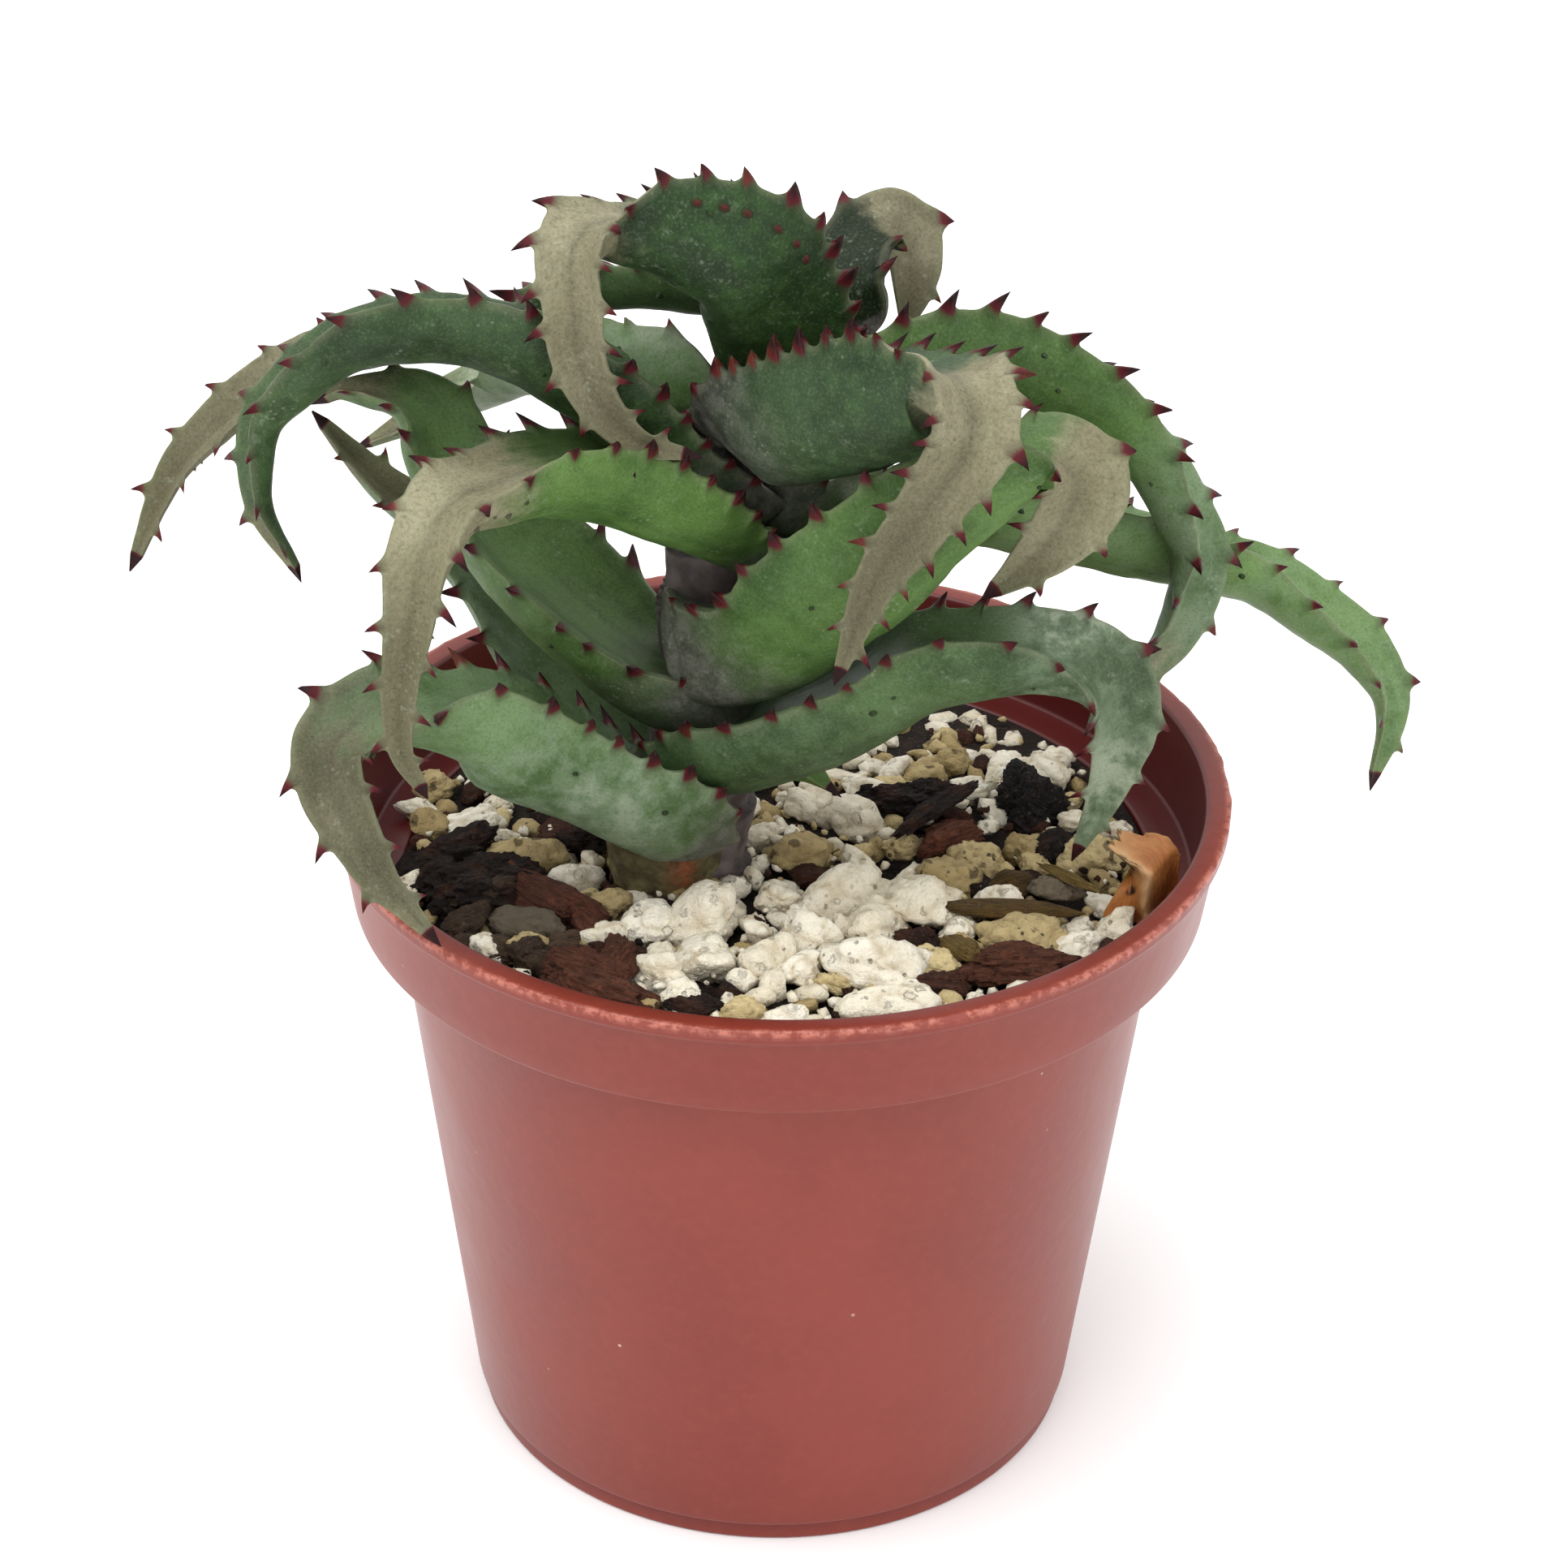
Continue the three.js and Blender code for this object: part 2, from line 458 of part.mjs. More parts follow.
// A curled dry leaf: a thin blade bent round most of a circle, standing on its edge
function dryLeafSolid(swell) {
  const shape = new THREE.Shape();
  const start = DRY_LEAF_ARC[0] - swell / DRY_LEAF_RADIUS;
  const end = DRY_LEAF_ARC[1] + swell / DRY_LEAF_RADIUS;
  const half = DRY_LEAF_THICKNESS / 2 + swell;
  shape.absarc(0, 0, DRY_LEAF_RADIUS + half, start, end, false);
  shape.absarc(0, 0, DRY_LEAF_RADIUS - half, end, start, true);
  shape.closePath();
  const blade = new THREE.ExtrudeGeometry(shape, {
    depth: DRY_LEAF_HEIGHT + 2 * swell, bevelEnabled: false, curveSegments: 9,
  });
  blade.translate(0, 0, -swell);
  blade.rotateX(DRY_LEAF_TILT);
  blade.translate(...DRY_LEAF_AT);
  return solidOf(blade);
}

const plant = new THREE.Group();
LEAVES.forEach((leaf) => {
  leaf.curve = new THREE.CatmullRomCurve3(vectors(leaf.path));
  leaf.sizeCurve = evenCurve(leaf.sizes.map(([width, depth]) => [width, depth, 0]));
  leaf.turnCurve = evenCurve(leaf.turns.map((turn) => [turn, 0, 0]));
  leaf.length = leaf.curve.getLength();
});
const stemRoom = stemSolid(CLEARANCE);
const bladeRooms = LEAVES.map((leaf) => leafBlade(leaf, CLEARANCE));
let grown = stemRoom;
LEAVES.forEach((leaf, index) => {
  const others = bladeRooms.filter((_, other) => other !== index);
  const teeth = leafTeeth(leaf, wasm.Manifold.union([grown, ...others]));
  const earlier = wasm.Manifold.union([stemRoom, ...bladeRooms.slice(0, index)]);
  const leafBody = wasm.Manifold.union([leafBlade(leaf, 0), ...teeth]).subtract(earlier);
  grown = grown.add(leafBody);
  plant.add(meshOf(leaf.name, leafBody, LEAF_LOOK));
});
plant.add(meshOf('stem', stemSolid(0), STEM_LOOK));

const room = potRoom();
const lowLeafRoom = bladeRooms[0].add(bladeRooms[1]);
const litterRoom = BARK.map((chip) => barkSolid(chip, LITTER_GAP)).reduce((all, one) => all.add(one))
  .add(dryLeafSolid(LITTER_GAP)).add(lowLeafRoom).add(stemRoom);
const soil = groundSolid().add(grainSolids()).intersect(room).subtract(litterRoom);
const filling = new THREE.Group();
filling.add(meshOf('soil', soil, SOIL_LOOK, COARSE_TOLERANCE));
BARK.forEach((chip) => filling.add(meshOf(chip.name, barkSolid(chip, 0), BARK_LOOK)));
filling.add(meshOf('dry_leaf', dryLeafSolid(0), DRY_LEAF_LOOK));

const pottedAloe = new THREE.Group();
pottedAloe.add(meshOf('pot', potSolid(), POT_LOOK), filling, plant);

export default pottedAloe;
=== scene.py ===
"""A young Aloe castilloniae in a small terracotta-coloured nursery pot.

Shapes are worked out in millimetres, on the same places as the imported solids, and
written to the meshes in metres. +Z is up and the viewer stands on the -Y side.
"""
import math
from dataclasses import dataclass

import bmesh
import bpy
import numpy as np
from mathutils import Matrix, Vector


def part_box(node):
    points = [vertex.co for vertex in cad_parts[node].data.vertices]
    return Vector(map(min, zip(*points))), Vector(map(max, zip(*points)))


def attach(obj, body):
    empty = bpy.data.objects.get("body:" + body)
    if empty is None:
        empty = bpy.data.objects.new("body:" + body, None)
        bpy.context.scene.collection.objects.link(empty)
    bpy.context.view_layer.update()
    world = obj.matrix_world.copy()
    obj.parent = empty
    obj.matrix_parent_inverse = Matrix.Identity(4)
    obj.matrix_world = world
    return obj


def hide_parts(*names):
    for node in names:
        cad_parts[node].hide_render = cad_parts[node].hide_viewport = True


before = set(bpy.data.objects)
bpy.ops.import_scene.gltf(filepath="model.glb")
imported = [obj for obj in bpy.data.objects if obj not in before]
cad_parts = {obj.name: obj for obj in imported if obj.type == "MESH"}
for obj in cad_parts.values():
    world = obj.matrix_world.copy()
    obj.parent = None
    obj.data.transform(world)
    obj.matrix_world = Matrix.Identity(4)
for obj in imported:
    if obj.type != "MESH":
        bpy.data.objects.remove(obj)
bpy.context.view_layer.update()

MM = 0.001
TURN = 2 * math.pi
UP = np.array([0, 0, 1])

# The pot
POT_HEIGHT = 68
RIM_OUTER_RADIUS = 42.5
RIM_BAND_WIDTH = 2.4
RIM_BAND_HEIGHT = 1.6
BAND_STEP = 0.7
COLLAR_HEIGHT = 10
COLLAR_LOWER_RADIUS = 40.6
BODY_TOP_RADIUS = 36.7
BODY_BOTTOM_RADIUS = 30.1
FOOT_RADIUS = 29.6
FOOT_HEIGHT = 2.1
WALL = 1.1
FLOOR_THICKNESS = 1.4
HUB_RADIUS = 0.4
CORNER_RADIUS = 0.45
LONGEST_STEP = 2.5
POT_SIDES = 288
DRAIN_HOLES = 6
DRAIN_HOLE_RADIUS = 3
DRAIN_CIRCLE_RADIUS = 18
DRILL_SIDES = 40
FLASH_HEIGHT = 0.22

# Waves of a rough surface, each with its height, wavelength and seed
FLASH_WAVES = ((0.13, 2.4, 3), (0.1, 0.9, 4), (0.12, 11, 5))
BED_WAVES = ((0.45, 5, 61), (0.4, 2.2, 62), (0.2, 1.1, 63))
STEM_WAVES = ((0.18, 5, 21), (0.07, 1.6, 22))
SHEET_WAVES = ((0.3, 4, 41), (0.09, 1.4, 42))

# The filling
FILL_LEVEL = 60.6
FILL_SLOPE = -0.05
FILL_ROUGHNESS = 0.5
BED_DROP = 1.7
BED_SIDES = 180
BED_RINGS = 60
LEDGE_RADIUS = 35.2
FRONT_RADIUS = 39
FRONT_TO_BACK = (-12, 4)
STONE_LIFT = 0.3
GRAVEL_COUNT = 330
GRAVEL_SIZES = (1.9, 3.6)
GRAVEL_SPACING = 0.78
CRUMB_COUNT = 900
CRUMB_SIZES = (0.6, 1.5)
CRUMB_SPACING = 0.7
TRIES_PER_GRAIN = 15
GRAIN_LIFT = 0.5
STONE_SEED = 7
LITTER_SEED = 17

# The level of the ball that each kind of stone starts from
STONE_DETAIL = 4
BARK_DETAIL = 5
CHIP_DETAIL = 6
GRAVEL_DETAIL = 2
CRUMB_DETAIL = 1

# The surface of a stone
STONE_SWELL = 1.04
STONE_FLATS = 11
CRUMB_WAVELENGTHS = (0.33, 0.19, 0.11)

# Forms of stones and bark: how sharp the flats meet, then heights of lumps, knobs, threads and crumbs
KNOBBLY = (6, 0.15, 0.17, 0, 0.032)
BLOCKY = (14, 0.15, 0.1, 0, 0.085)
STRINGY = (6, 0.2, 0.06, 0.07, 0.075)
CRUMBLY = (6, 0.15, 0.08, 0, 0.07)
FLAKY = (7, 0.06, 0, 0.05, 0.02)
SPLINTERY = (9, 0.08, 0, 0.1, 0.04)
SHARP = (8, 0.15, 0.1, 0, 0.075)

# The leaves
TOOTH_HEIGHT = 2.6
TOOTH_BASE = 3.3
TOOTH_PITCH = 4.1
TOOTH_CROWDING = 1.4
TOOTH_TILT = 0.65
TOOTH_ROOT = 1.5
LAST_TOOTH = 0.985
RINGS_PER_TOOTH = 20
MIN_THICKNESS = 0.9
LOWER_POINTS = 31
UPPER_POINTS = 19
LOWER_BUNCHING = 0.78
UPPER_BUNCHING = 0.7
LOOK_AHEAD = 0.012
VIEWER = np.array([0, -0.857, 0.515])
LEFT = -1
RIGHT = 1
DOME_LENGTH = 3
BASE_REACH = 1.2
SPINE_LENGTH = 1.6
LEAF_SEED = 100

# Added along each further leaf or stone, so that no two of them show the same threads
LEAF_STRIDE = 31
STONE_STRIDE = 20

# The prickles on the leaf faces
PRICKLE_PITCH = 3.4
PRICKLE_CHANCE = 0.16
PRICKLE_COLUMNS = ((7, 8, 9, 10), (23, 22, 21, 20))
PRICKLE_SIDES = 7
DOT_COLUMN = 24
DOT_SIZE = 0.48
DOT_STAIN = 1.7

# The rings of a prickle: lift, spread and shift in shares of its size, and how red it is
PRICKLE_RINGS = (
    (-0.5, 1.15, 0, 0.05), (0.25, 0.8, 0.1, 0.2), (0.9, 0.35, 0.45, 0.27), (1.35, 0.08, 0.8, 0.3),
)

# The stem
STEM_PATH = [
    (-8.5, -3, 48), (-8, -3.5, 62), (-7, -4, 80), (-6, -4.5, 92.5), (-4, -4, 104), (-0.5, -3, 112.5),
    (0.5, -2.5, 114),
]
STEM_RADIUS = 4.6
STEM_TAPER = 0.9
STEM_RINGS = 170
STEM_SIDES = 48
BASE_PITCH = 7

# The stub of a lost leaf at the foot of the stem
STUB_MIDDLE = (-10.2, -4.6)
STUB_FOOT = 58
STUB_HEIGHT = 10.4
STUB_RADIUS = 5.3
STUB_WALL = 0.75
STUB_TURNS = (-2.95, 0.1)
STUB_STEPS = (90, 26)

# The curled dead leaf: its left foot, width, half its thickness, and its top edge as shares and heights
SHEET_PLACE = (30.2, -13.6, 61)
SHEET_WIDTH = 7
SHEET_HALF_THICKNESS = 0.12
SHEET_SHARES = (0, 0.15, 0.38, 0.5, 0.62, 0.8, 1)
SHEET_TOPS = (1.4, 2.8, 3.6, 7.6, 9.4, 8.6, 5.5)
SHEET_STEPS = (120, 60)
SHEET_RIDGE = 0.52
NOD_HEIGHTS = (5.8, 9.6)

# Stones set one by one: x, y, length and the turn of the long side in degrees
WHITE_STONES = [
    (-29, 2.5, 5.5, 0), (-26, 0, 2.5, 0), (-19, -7.5, 5, 20), (-17.5, -4, 2.8, 60), (-35, 6.5, 3.8, 0),
    (-34.5, -10, 4.5, 100), (-12, -16.5, 6, 65), (-15.5, -18.5, 4, 0), (-7, -15.5, 8, 15),
    (-6, -22.5, 7, 60), (-11, -21, 3.6, 10), (-10.5, -25, 5.5, -30), (-26.5, -21.5, 3.2, -30),
    (-0.5, -22.5, 6, 45), (0, -11, 4, 0), (2.5, -12.5, 3, 0), (-1.5, -17, 4, 30), (-8.5, -30, 4.4, -5),
    (0.5, -31.5, 4.2, -10), (-3, 6, 3, 80), (-2, 1, 4.2, 0), (27, 17, 5, 20), (26, 13, 6, -10),
    (22.5, 15.5, 4, 70), (11, 14, 4.5, 60), (7.5, 12.5, 3.5, 50), (18, 10, 4, 0), (9, 8, 6, -10),
    (3.5, 7, 5, -20), (7.5, 3.5, 6, -20), (8, -5.5, 4.5, -30), (12, -6.5, 4.5, 60), (5, -11, 8.5, 15),
    (13, -12.5, 7, -60), (9.5, -15.5, 6.5, 40), (17, -16.5, 4.5, 70), (6, -16, 3.2, -30),
    (2.5, -18.5, 6.5, -20), (9.5, -23.5, 8, -5), (2, -24, 5, 30), (9.5, -30.5, 8.5, 0),
    (20.5, -11.5, 4.4, -10), (27.5, -15, 3.4, 0), (31, -15.5, 4.6, 30), (31, -11.5, 4.5, -40),
    (27.5, -19.5, 4, 20), (28, 5, 3.4, 0), (32, 3, 3.4, -40), (20, 3.5, 2, 0),
]
TAN_STONES = [
    (-24, -4.5, 6.2, -15), (-34, 10, 3.6, -30), (-15.5, -12.5, 4, 0), (-22.5, -20.5, 5, 5),
    (-3, -31, 4, 10), (1.5, -2.5, 5.5, -20), (17, 17, 4, 0), (14, 14, 4.5, 70), (12, 9.5, 5.2, 0),
    (7.5, -2, 3.6, 20), (12, -1, 3.6, 0), (18.5, -3.5, 5.6, -10), (23, -1, 4, -20), (24.5, -4, 3.4, 0),
    (26.5, 1, 3.4, 10), (29.5, -3, 5.2, 10), (16, -7, 5, -10), (15.5, -12, 3.4, 40), (5, -25.5, 2.8, 0),
    (22, -18, 8, 5), (17, -20, 3.4, -40), (14.5, -22, 4.4, -20), (-33.5, 2.5, 4.4, -20),
]
BARK_PIECES = [
    (-14, -21.5, 5, 0), (-20, 0.5, 6, -20), (14.5, -25.5, 5, 10), (12.5, -18, 3.6, -20), (3, -6, 3.6, 0),
    (9, -10, 3, 60), (-28, -15, 5, 20), (14, -20, 3, 0), (23.5, -6.5, 4, 0),
]

# Litter listed by its kind: x, y, z, length, width, height and the turn of the long side in degrees
LITTER = {
    "black_bark": [
        (-30.6, -4.3, 62, 7.5, 5.5, 3, 20), (-27.5, -8.5, 62, 8, 5, 3, -30),
        (-31.5, -9.5, 61.8, 6, 5, 2.6, 60), (14.6, 2.1, 63.8, 10.5, 2.6, 1.9, 49),
        (-7, -30.6, 62.8, 5.2, 2.8, 2.4, -8), (-19, -1, 61.8, 5, 5, 2.4, 0),
        (26, -1.5, 61.8, 5, 4, 2.4, 30),
    ],
    "red_bark": [
        (-22, -13.2, 62.6, 14, 3.6, 2.8, -42), (-14.4, -23.8, 62.8, 6.5, 4.4, 3.4, 80),
        (16.6, -0.6, 62.3, 7, 4.6, 3, 40), (21.4, -23, 63, 9.5, 5, 3.8, 10),
        (-17.5, -16.5, 62, 4.5, 3.4, 2.4, -60),
    ],
    "compost_lumps": [
        (-25.7, -21.1, 62.2, 6, 3.4, 2.4, -20), (-20.8, -23.6, 62.3, 6.5, 3.6, 2.6, -25),
        (-17.5, -26.4, 62.3, 5, 3, 2.4, -30), (-28.6, -16.4, 62, 4.6, 4, 3, 30),
        (-19.5, -21.5, 63.4, 3.4, 2.2, 1.8, 15), (-22.5, -22.3, 63.2, 2.8, 2.2, 1.6, 60),
        (-16.6, -28.2, 62.9, 3, 2, 1.6, -40), (-13.4, -28.6, 62.9, 2.6, 1.8, 1.5, 10),
        (-30, -13, 62.4, 3.6, 3, 2, -20), (-26, -11.8, 63.2, 3.2, 2.4, 1.8, 35),
    ],
    "grey_pebbles": [(-22.5, -17.6, 62.3, 7, 3.6, 3, -25), (25.5, -10.2, 62.5, 5, 2.8, 2.4, 0)],
    "olive_flakes": [(22.3, -15.2, 63.4, 10.8, 2.4, 1.1, 0), (21.6, -9.3, 62.4, 4.4, 3.2, 2.8, 30)],
    "straw_pieces": [(16.8, -21.5, 63, 4.6, 2.4, 1.9, -55), (26.7, -9.9, 63.8, 7.2, 1.3, 1, -48)],
}

# Where each kind of small grain lies: middle, reach, and shares of white, tan and dark
DRIFTS = [
    ((4, -20), 14, (0.85, 0.1, 0.05)),
    ((-25, -10), 13, (0.12, 0.2, 0.68)),
    ((22, -6), 14, (0.3, 0.4, 0.3)),
    ((14, 12), 14, (0.5, 0.35, 0.15)),
    ((-18, 16), 16, (0.4, 0.35, 0.25)),
]


@dataclass(eq=False)
class Leaf:
    """A leaf from the stem to the tip, with its measures in millimetres and shares of its length."""

    name: str
    hand: int  # LEFT or RIGHT, the side of the stem that it grows to
    sizes: list  # widths and depths at even steps
    path: list  # places on the midrib
    turns: list  # how far the upper side turns from edge-on to face the viewer, in degrees
    bloom: float  # chalk all over it
    # the tone is the leaf's own green and also painted shade and light for how lit the leaf is; below 0 it is
    # painted shade
    tone: float  # the green, from -1 nearly black over 0 deep to 1 bright
    dry: tuple  # from where to where it turns khaki
    pale: float  # how light the khaki is
    clasp: float  # how far the grey-purple foot reaches
    thorns: float = 1  # size of the teeth
    pitch: float = TOOTH_PITCH  # length of margin for each tooth
    dots: tuple = ()  # places of the dark spots on its face
    frost: float = 0  # chalk on the outer half

    def __post_init__(self):
        self.sizes = np.array(self.sizes, float)
        self.path = Path(self.path)
        self.turns = np.radians(self.turns)[:, None]


class Path:
    """A smooth path through given points: a centripetal Catmull-Rom curve, read by share of its length."""

    STEPS = 40

    def __init__(self, points):
        knots = padded(np.array(points, float))
        before, start, end, after = knots[:-3], knots[1:-2], knots[2:-1], knots[3:]
        gap_in = self.root_gap(before, start)
        gap = self.root_gap(start, end)
        gap_out = self.root_gap(end, after)
        leave = (start - before) / gap_in - (end - before) / (gap_in + gap) + (end - start) / gap
        arrive = (end - start) / gap - (after - start) / (gap + gap_out) + (after - end) / gap_out
        t = np.linspace(0, 1, self.STEPS, endpoint=False)[None, :, None]
        spans = cubic(t, *(v[:, None, :] for v in (start, end, leave * gap, arrive * gap)))
        self.points = np.vstack([spans.reshape(-1, 3), knots[-2]])
        steps = np.linalg.norm(np.diff(self.points, axis=0), axis=1)
        self.reach = np.concatenate([[0], np.cumsum(steps)])
        self.length = self.reach[-1]

    @staticmethod
    def root_gap(a, b):
        return np.sqrt(np.linalg.norm(b - a, axis=1, keepdims=True))

    def at(self, share):
        """Places at these shares of the length, carried straight on past either end."""
        distance = np.asarray(share) * self.length
        inside = np.clip(distance, 0, self.length)
        place = np.stack([np.interp(inside, self.reach, column) for column in self.points.T], -1)
        first = unit(self.points[1] - self.points[0])
        last = unit(self.points[-1] - self.points[-2])
        place += np.minimum(distance, 0)[..., None] * first
        return place + np.maximum(distance - self.length, 0)[..., None] * last


def cubic(t, start, end, leave, arrive):
    """Points at t on the curve from start to end that leaves and arrives along these ways."""
    first = (2 * t**3 - 3 * t**2 + 1) * start + (t**3 - 2 * t**2 + t) * leave
    return first + (3 * t**2 - 2 * t**3) * end + (t**3 - t**2) * arrive


def padded(values):
    """The values with one more at each end, carried straight on."""
    return np.vstack([2 * values[0] - values[1], values, 2 * values[-1] - values[-2]])


def eased(values, share):
    """Values at shares of the way down a list of even steps: a uniform Catmull-Rom curve."""
    step = np.clip(share, 0, 1) * (len(values) - 1)
    k = np.minimum(step.astype(int), len(values) - 2)
    knots = padded(values)
    before, start, end, after = (knots[k + shift] for shift in range(4))
    return cubic((step - k)[:, None], start, end, (end - before) / 2, (after - start) / 2)


def unit(vectors):
    return vectors / np.linalg.norm(vectors, axis=-1, keepdims=True)


def ramp(value, low, high):
    """A smooth step from 0 at low to 1 at high."""
    t = np.clip((value - low) / (high - low), 0, 1)
    return t * t * (3 - 2 * t)


def bell(value, middle, reach):
    """A smooth hump of height 1 round the middle."""
    return np.exp(-(((value - middle) / reach) ** 2))


def ripples(points, wavelength, seed, count=9):
    """Smooth noise of about -1 to 1: a mean of sine waves in seeded directions, near one wavelength."""
    draw = np.random.default_rng(seed)
    directions = unit(draw.normal(size=(count, 3)))
    strides = TURN / (wavelength * draw.uniform(0.7, 1.5, (count, 1)))
    phases = draw.uniform(0, TURN, count)
    return np.sin(points @ (directions * strides).T + phases).sum(-1) * (1.6 / count)


def sum_ripples(points, waves):
    """Ripples added up, from rows of height, wavelength and seed."""
    return sum(height * ripples(points, wavelength, seed) for height, wavelength, seed in waves)


def circle(sides):
    """Angles at even steps round a circle, and the ways out at them."""
    angle = np.arange(sides) * TURN / sides
    return angle, np.stack([np.cos(angle), np.sin(angle), 0 * angle], -1)


def fill_level(x, y):
    """The height of the filling, a little rough and lower towards the back."""
    rough = np.sin(x * 0.55 + 1.3) * np.cos(y * 0.47) + 0.6 * np.sin(x * 0.21 - y * 0.33)
    return FILL_LEVEL + FILL_SLOPE * y + FILL_ROUGHNESS * rough


def grid_faces(rings, sides):
    """Quads between the neighbouring rings of a grid; each ring joins its last point to its first."""
    i = np.arange(rings - 1)[:, None] * sides
    j = np.arange(sides)[None, :]
    k = (j + 1) % sides
    return np.stack([i + j, i + k, i + k + sides, i + j + sides], -1).reshape(-1, 4)


def capped(rings):
    """Rings of points, shape (rings, sides, 3), as one closed skin with a fan at each end."""
    count, sides = rings.shape[:2]
    hubs = np.stack([rings[0].mean(0), rings[-1].mean(0)])
    j = np.arange(sides)
    k = (j + 1) % sides
    last = (count - 1) * sides
    first_hub = count * sides
    start_fan = np.stack([k, j, np.full(sides, first_hub)], -1)
    end_fan = np.stack([last + j, last + k, np.full(sides, first_hub + 1)], -1)
    return np.vstack([rings.reshape(-1, 3), hubs]), [grid_faces(count, sides), start_fan, end_fan]


def placed(name, data):
    """A new object in the scene."""
    made = bpy.data.objects.new(name, data)
    bpy.context.scene.collection.objects.link(made)
    return made


def finish_piece(name, points, faces, material, stands_for=(), layers=()):
    """A smooth-shaded piece in metres from points in millimetres, with one value per point in each layer."""
    mesh = bpy.data.meshes.new(name)
    mesh.vertices.add(len(points))
    mesh.vertices.foreach_set("co", (np.asarray(points) * MM).astype(np.float32).ravel())
    sizes = np.concatenate([np.full(len(group), group.shape[1]) for group in faces])
    corners = np.concatenate([group.ravel() for group in faces])
    mesh.loops.add(len(corners))
    mesh.loops.foreach_set("vertex_index", corners.astype(np.int32))
    mesh.polygons.add(len(sizes))
    mesh.polygons.foreach_set("loop_start", np.concatenate([[0], np.cumsum(sizes)[:-1]]).astype(np.int32))
    mesh.polygons.foreach_set("use_smooth", np.ones(len(sizes), bool))
    for layer, values in dict(layers).items():
        spread = np.broadcast_to(values, len(points)).astype(np.float32)
        mesh.attributes.new(layer, "FLOAT", "POINT").data.foreach_set("value", spread)
    mesh.update(calc_edges=True)
    mesh.validate()
    mesh.materials.append(material)
    piece = placed(name, mesh)
    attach(piece, "root")
    if stands_for:
        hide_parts(*stands_for)
    return piece


class Value:
    """A number worked out over the surface; sums and products of it add Math nodes."""

    def __init__(self, paint, socket):
        self.paint = paint
        self.socket = socket

    def math(self, operation, first, second):
        return self.paint.node("ShaderNodeMath", {0: first, 1: second}, operation=operation)

    def __add__(self, other):
        return self.math("ADD", self, other)

    def __sub__(self, other):
        return self.math("SUBTRACT", self, other)

    def __mul__(self, other):
        return self.math("MULTIPLY", self, other)


class Paint:
    """One material: its nodes come from one method, and surface() ends it. A colour is a Value or a code."""

    def __init__(self, name):
        self.material = bpy.data.materials.new(name)
        self.material.use_nodes = True
        self.tree = self.material.node_tree
        self.tree.nodes.clear()
        self.place = self.node("ShaderNodeTexCoord", output="Object")

    def node(self, kind, sockets=(), output=0, **settings):
        """A node of this type with its settings, and the values or links of its sockets."""
        made = self.tree.nodes.new(kind)
        for key, value in settings.items():
            setattr(made, key, value)
        for key, value in dict(sockets).items():
            if isinstance(value, Value):
                self.tree.links.new(value.socket, made.inputs[key])
            else:
                made.inputs[key].default_value = tint(value) if isinstance(value, str) else value
        return Value(self, made.outputs[output])

    def layer(self, name):
        return self.node("ShaderNodeAttribute", output="Fac", attribute_name=name)

    def noise(self, scale, detail=3, roughness=0.55, where=None):
        sockets = {"Vector": where or self.place, "Scale": scale, "Detail": detail, "Roughness": roughness}
        return self.node("ShaderNodeTexNoise", sockets)

    def threads(self, along, across, side, detail, roughness=0.55):
        """Noise drawn out along a piece, from Values that count along and across it."""
        where = self.node("ShaderNodeCombineXYZ", {"X": along, "Y": across, "Z": side})
        return self.noise(1, detail, roughness, where)

    def cells(self, scale):
        return self.node("ShaderNodeTexVoronoi", {"Vector": self.place, "Scale": scale})

    def step(self, value, low, high, least=0.0, most=1.0):
        """A smooth step from least at low to most at high."""
        sockets = {"Value": value, "From Min": low, "From Max": high, "To Min": least, "To Max": most}
        return self.node("ShaderNodeMapRange", sockets, interpolation_type="SMOOTHSTEP")

    def patches(self, low, high, scale, detail=3, roughness=0.55):
        """Soft patches where a noise goes from low to high."""
        return self.step(self.noise(scale, detail, roughness), low, high)

    def spots(self, outer, inner, scale):
        """Round spots, full within the inner reach of a cell's middle and gone beyond the outer."""
        return self.step(self.cells(scale), outer, inner)

    def mix(self, share, first, second):
        return self.node("ShaderNodeMix", {0: share, 6: first, 7: second}, output=2, data_type="RGBA")

    def coats(self, colour, *coats):
        """A colour with more of them laid over it in turn, each after its share."""
        for share, coat in coats:
            colour = self.mix(share, colour, coat)
        return colour

    def bumps(self, *layers):
        """Bumps laid over each other, from rows of height, depth in metres and strength."""
        sockets = {}
        for height, distance, strength in layers:
            sockets.update({"Height": height, "Distance": distance, "Strength": strength})
            sockets["Normal"] = self.node("ShaderNodeBump", sockets)
        return sockets["Normal"]

    def surface(self, colour, roughness, normal=None, **constants):
        sockets = {"Base Color": colour, "Roughness": roughness}
        if normal:
            sockets["Normal"] = normal
        sockets.update({key.replace("_", " "): value for key, value in constants.items()})
        shader = self.node("ShaderNodeBsdfPrincipled", sockets)
        out = self.tree.nodes.new("ShaderNodeOutputMaterial")
        self.tree.links.new(shader.socket, out.inputs["Surface"])
        return self.material


def tint(code):
    """A colour from its six-digit code, as linear red, green and blue with full alpha."""
    shades = [int(code[i:i + 2], 16) / 255 for i in (0, 2, 4)]
    linear = [s / 12.92 if s <= 0.04045 else ((s + 0.055) / 1.055) ** 2.4 for s in shades]
    return (*linear, 1)


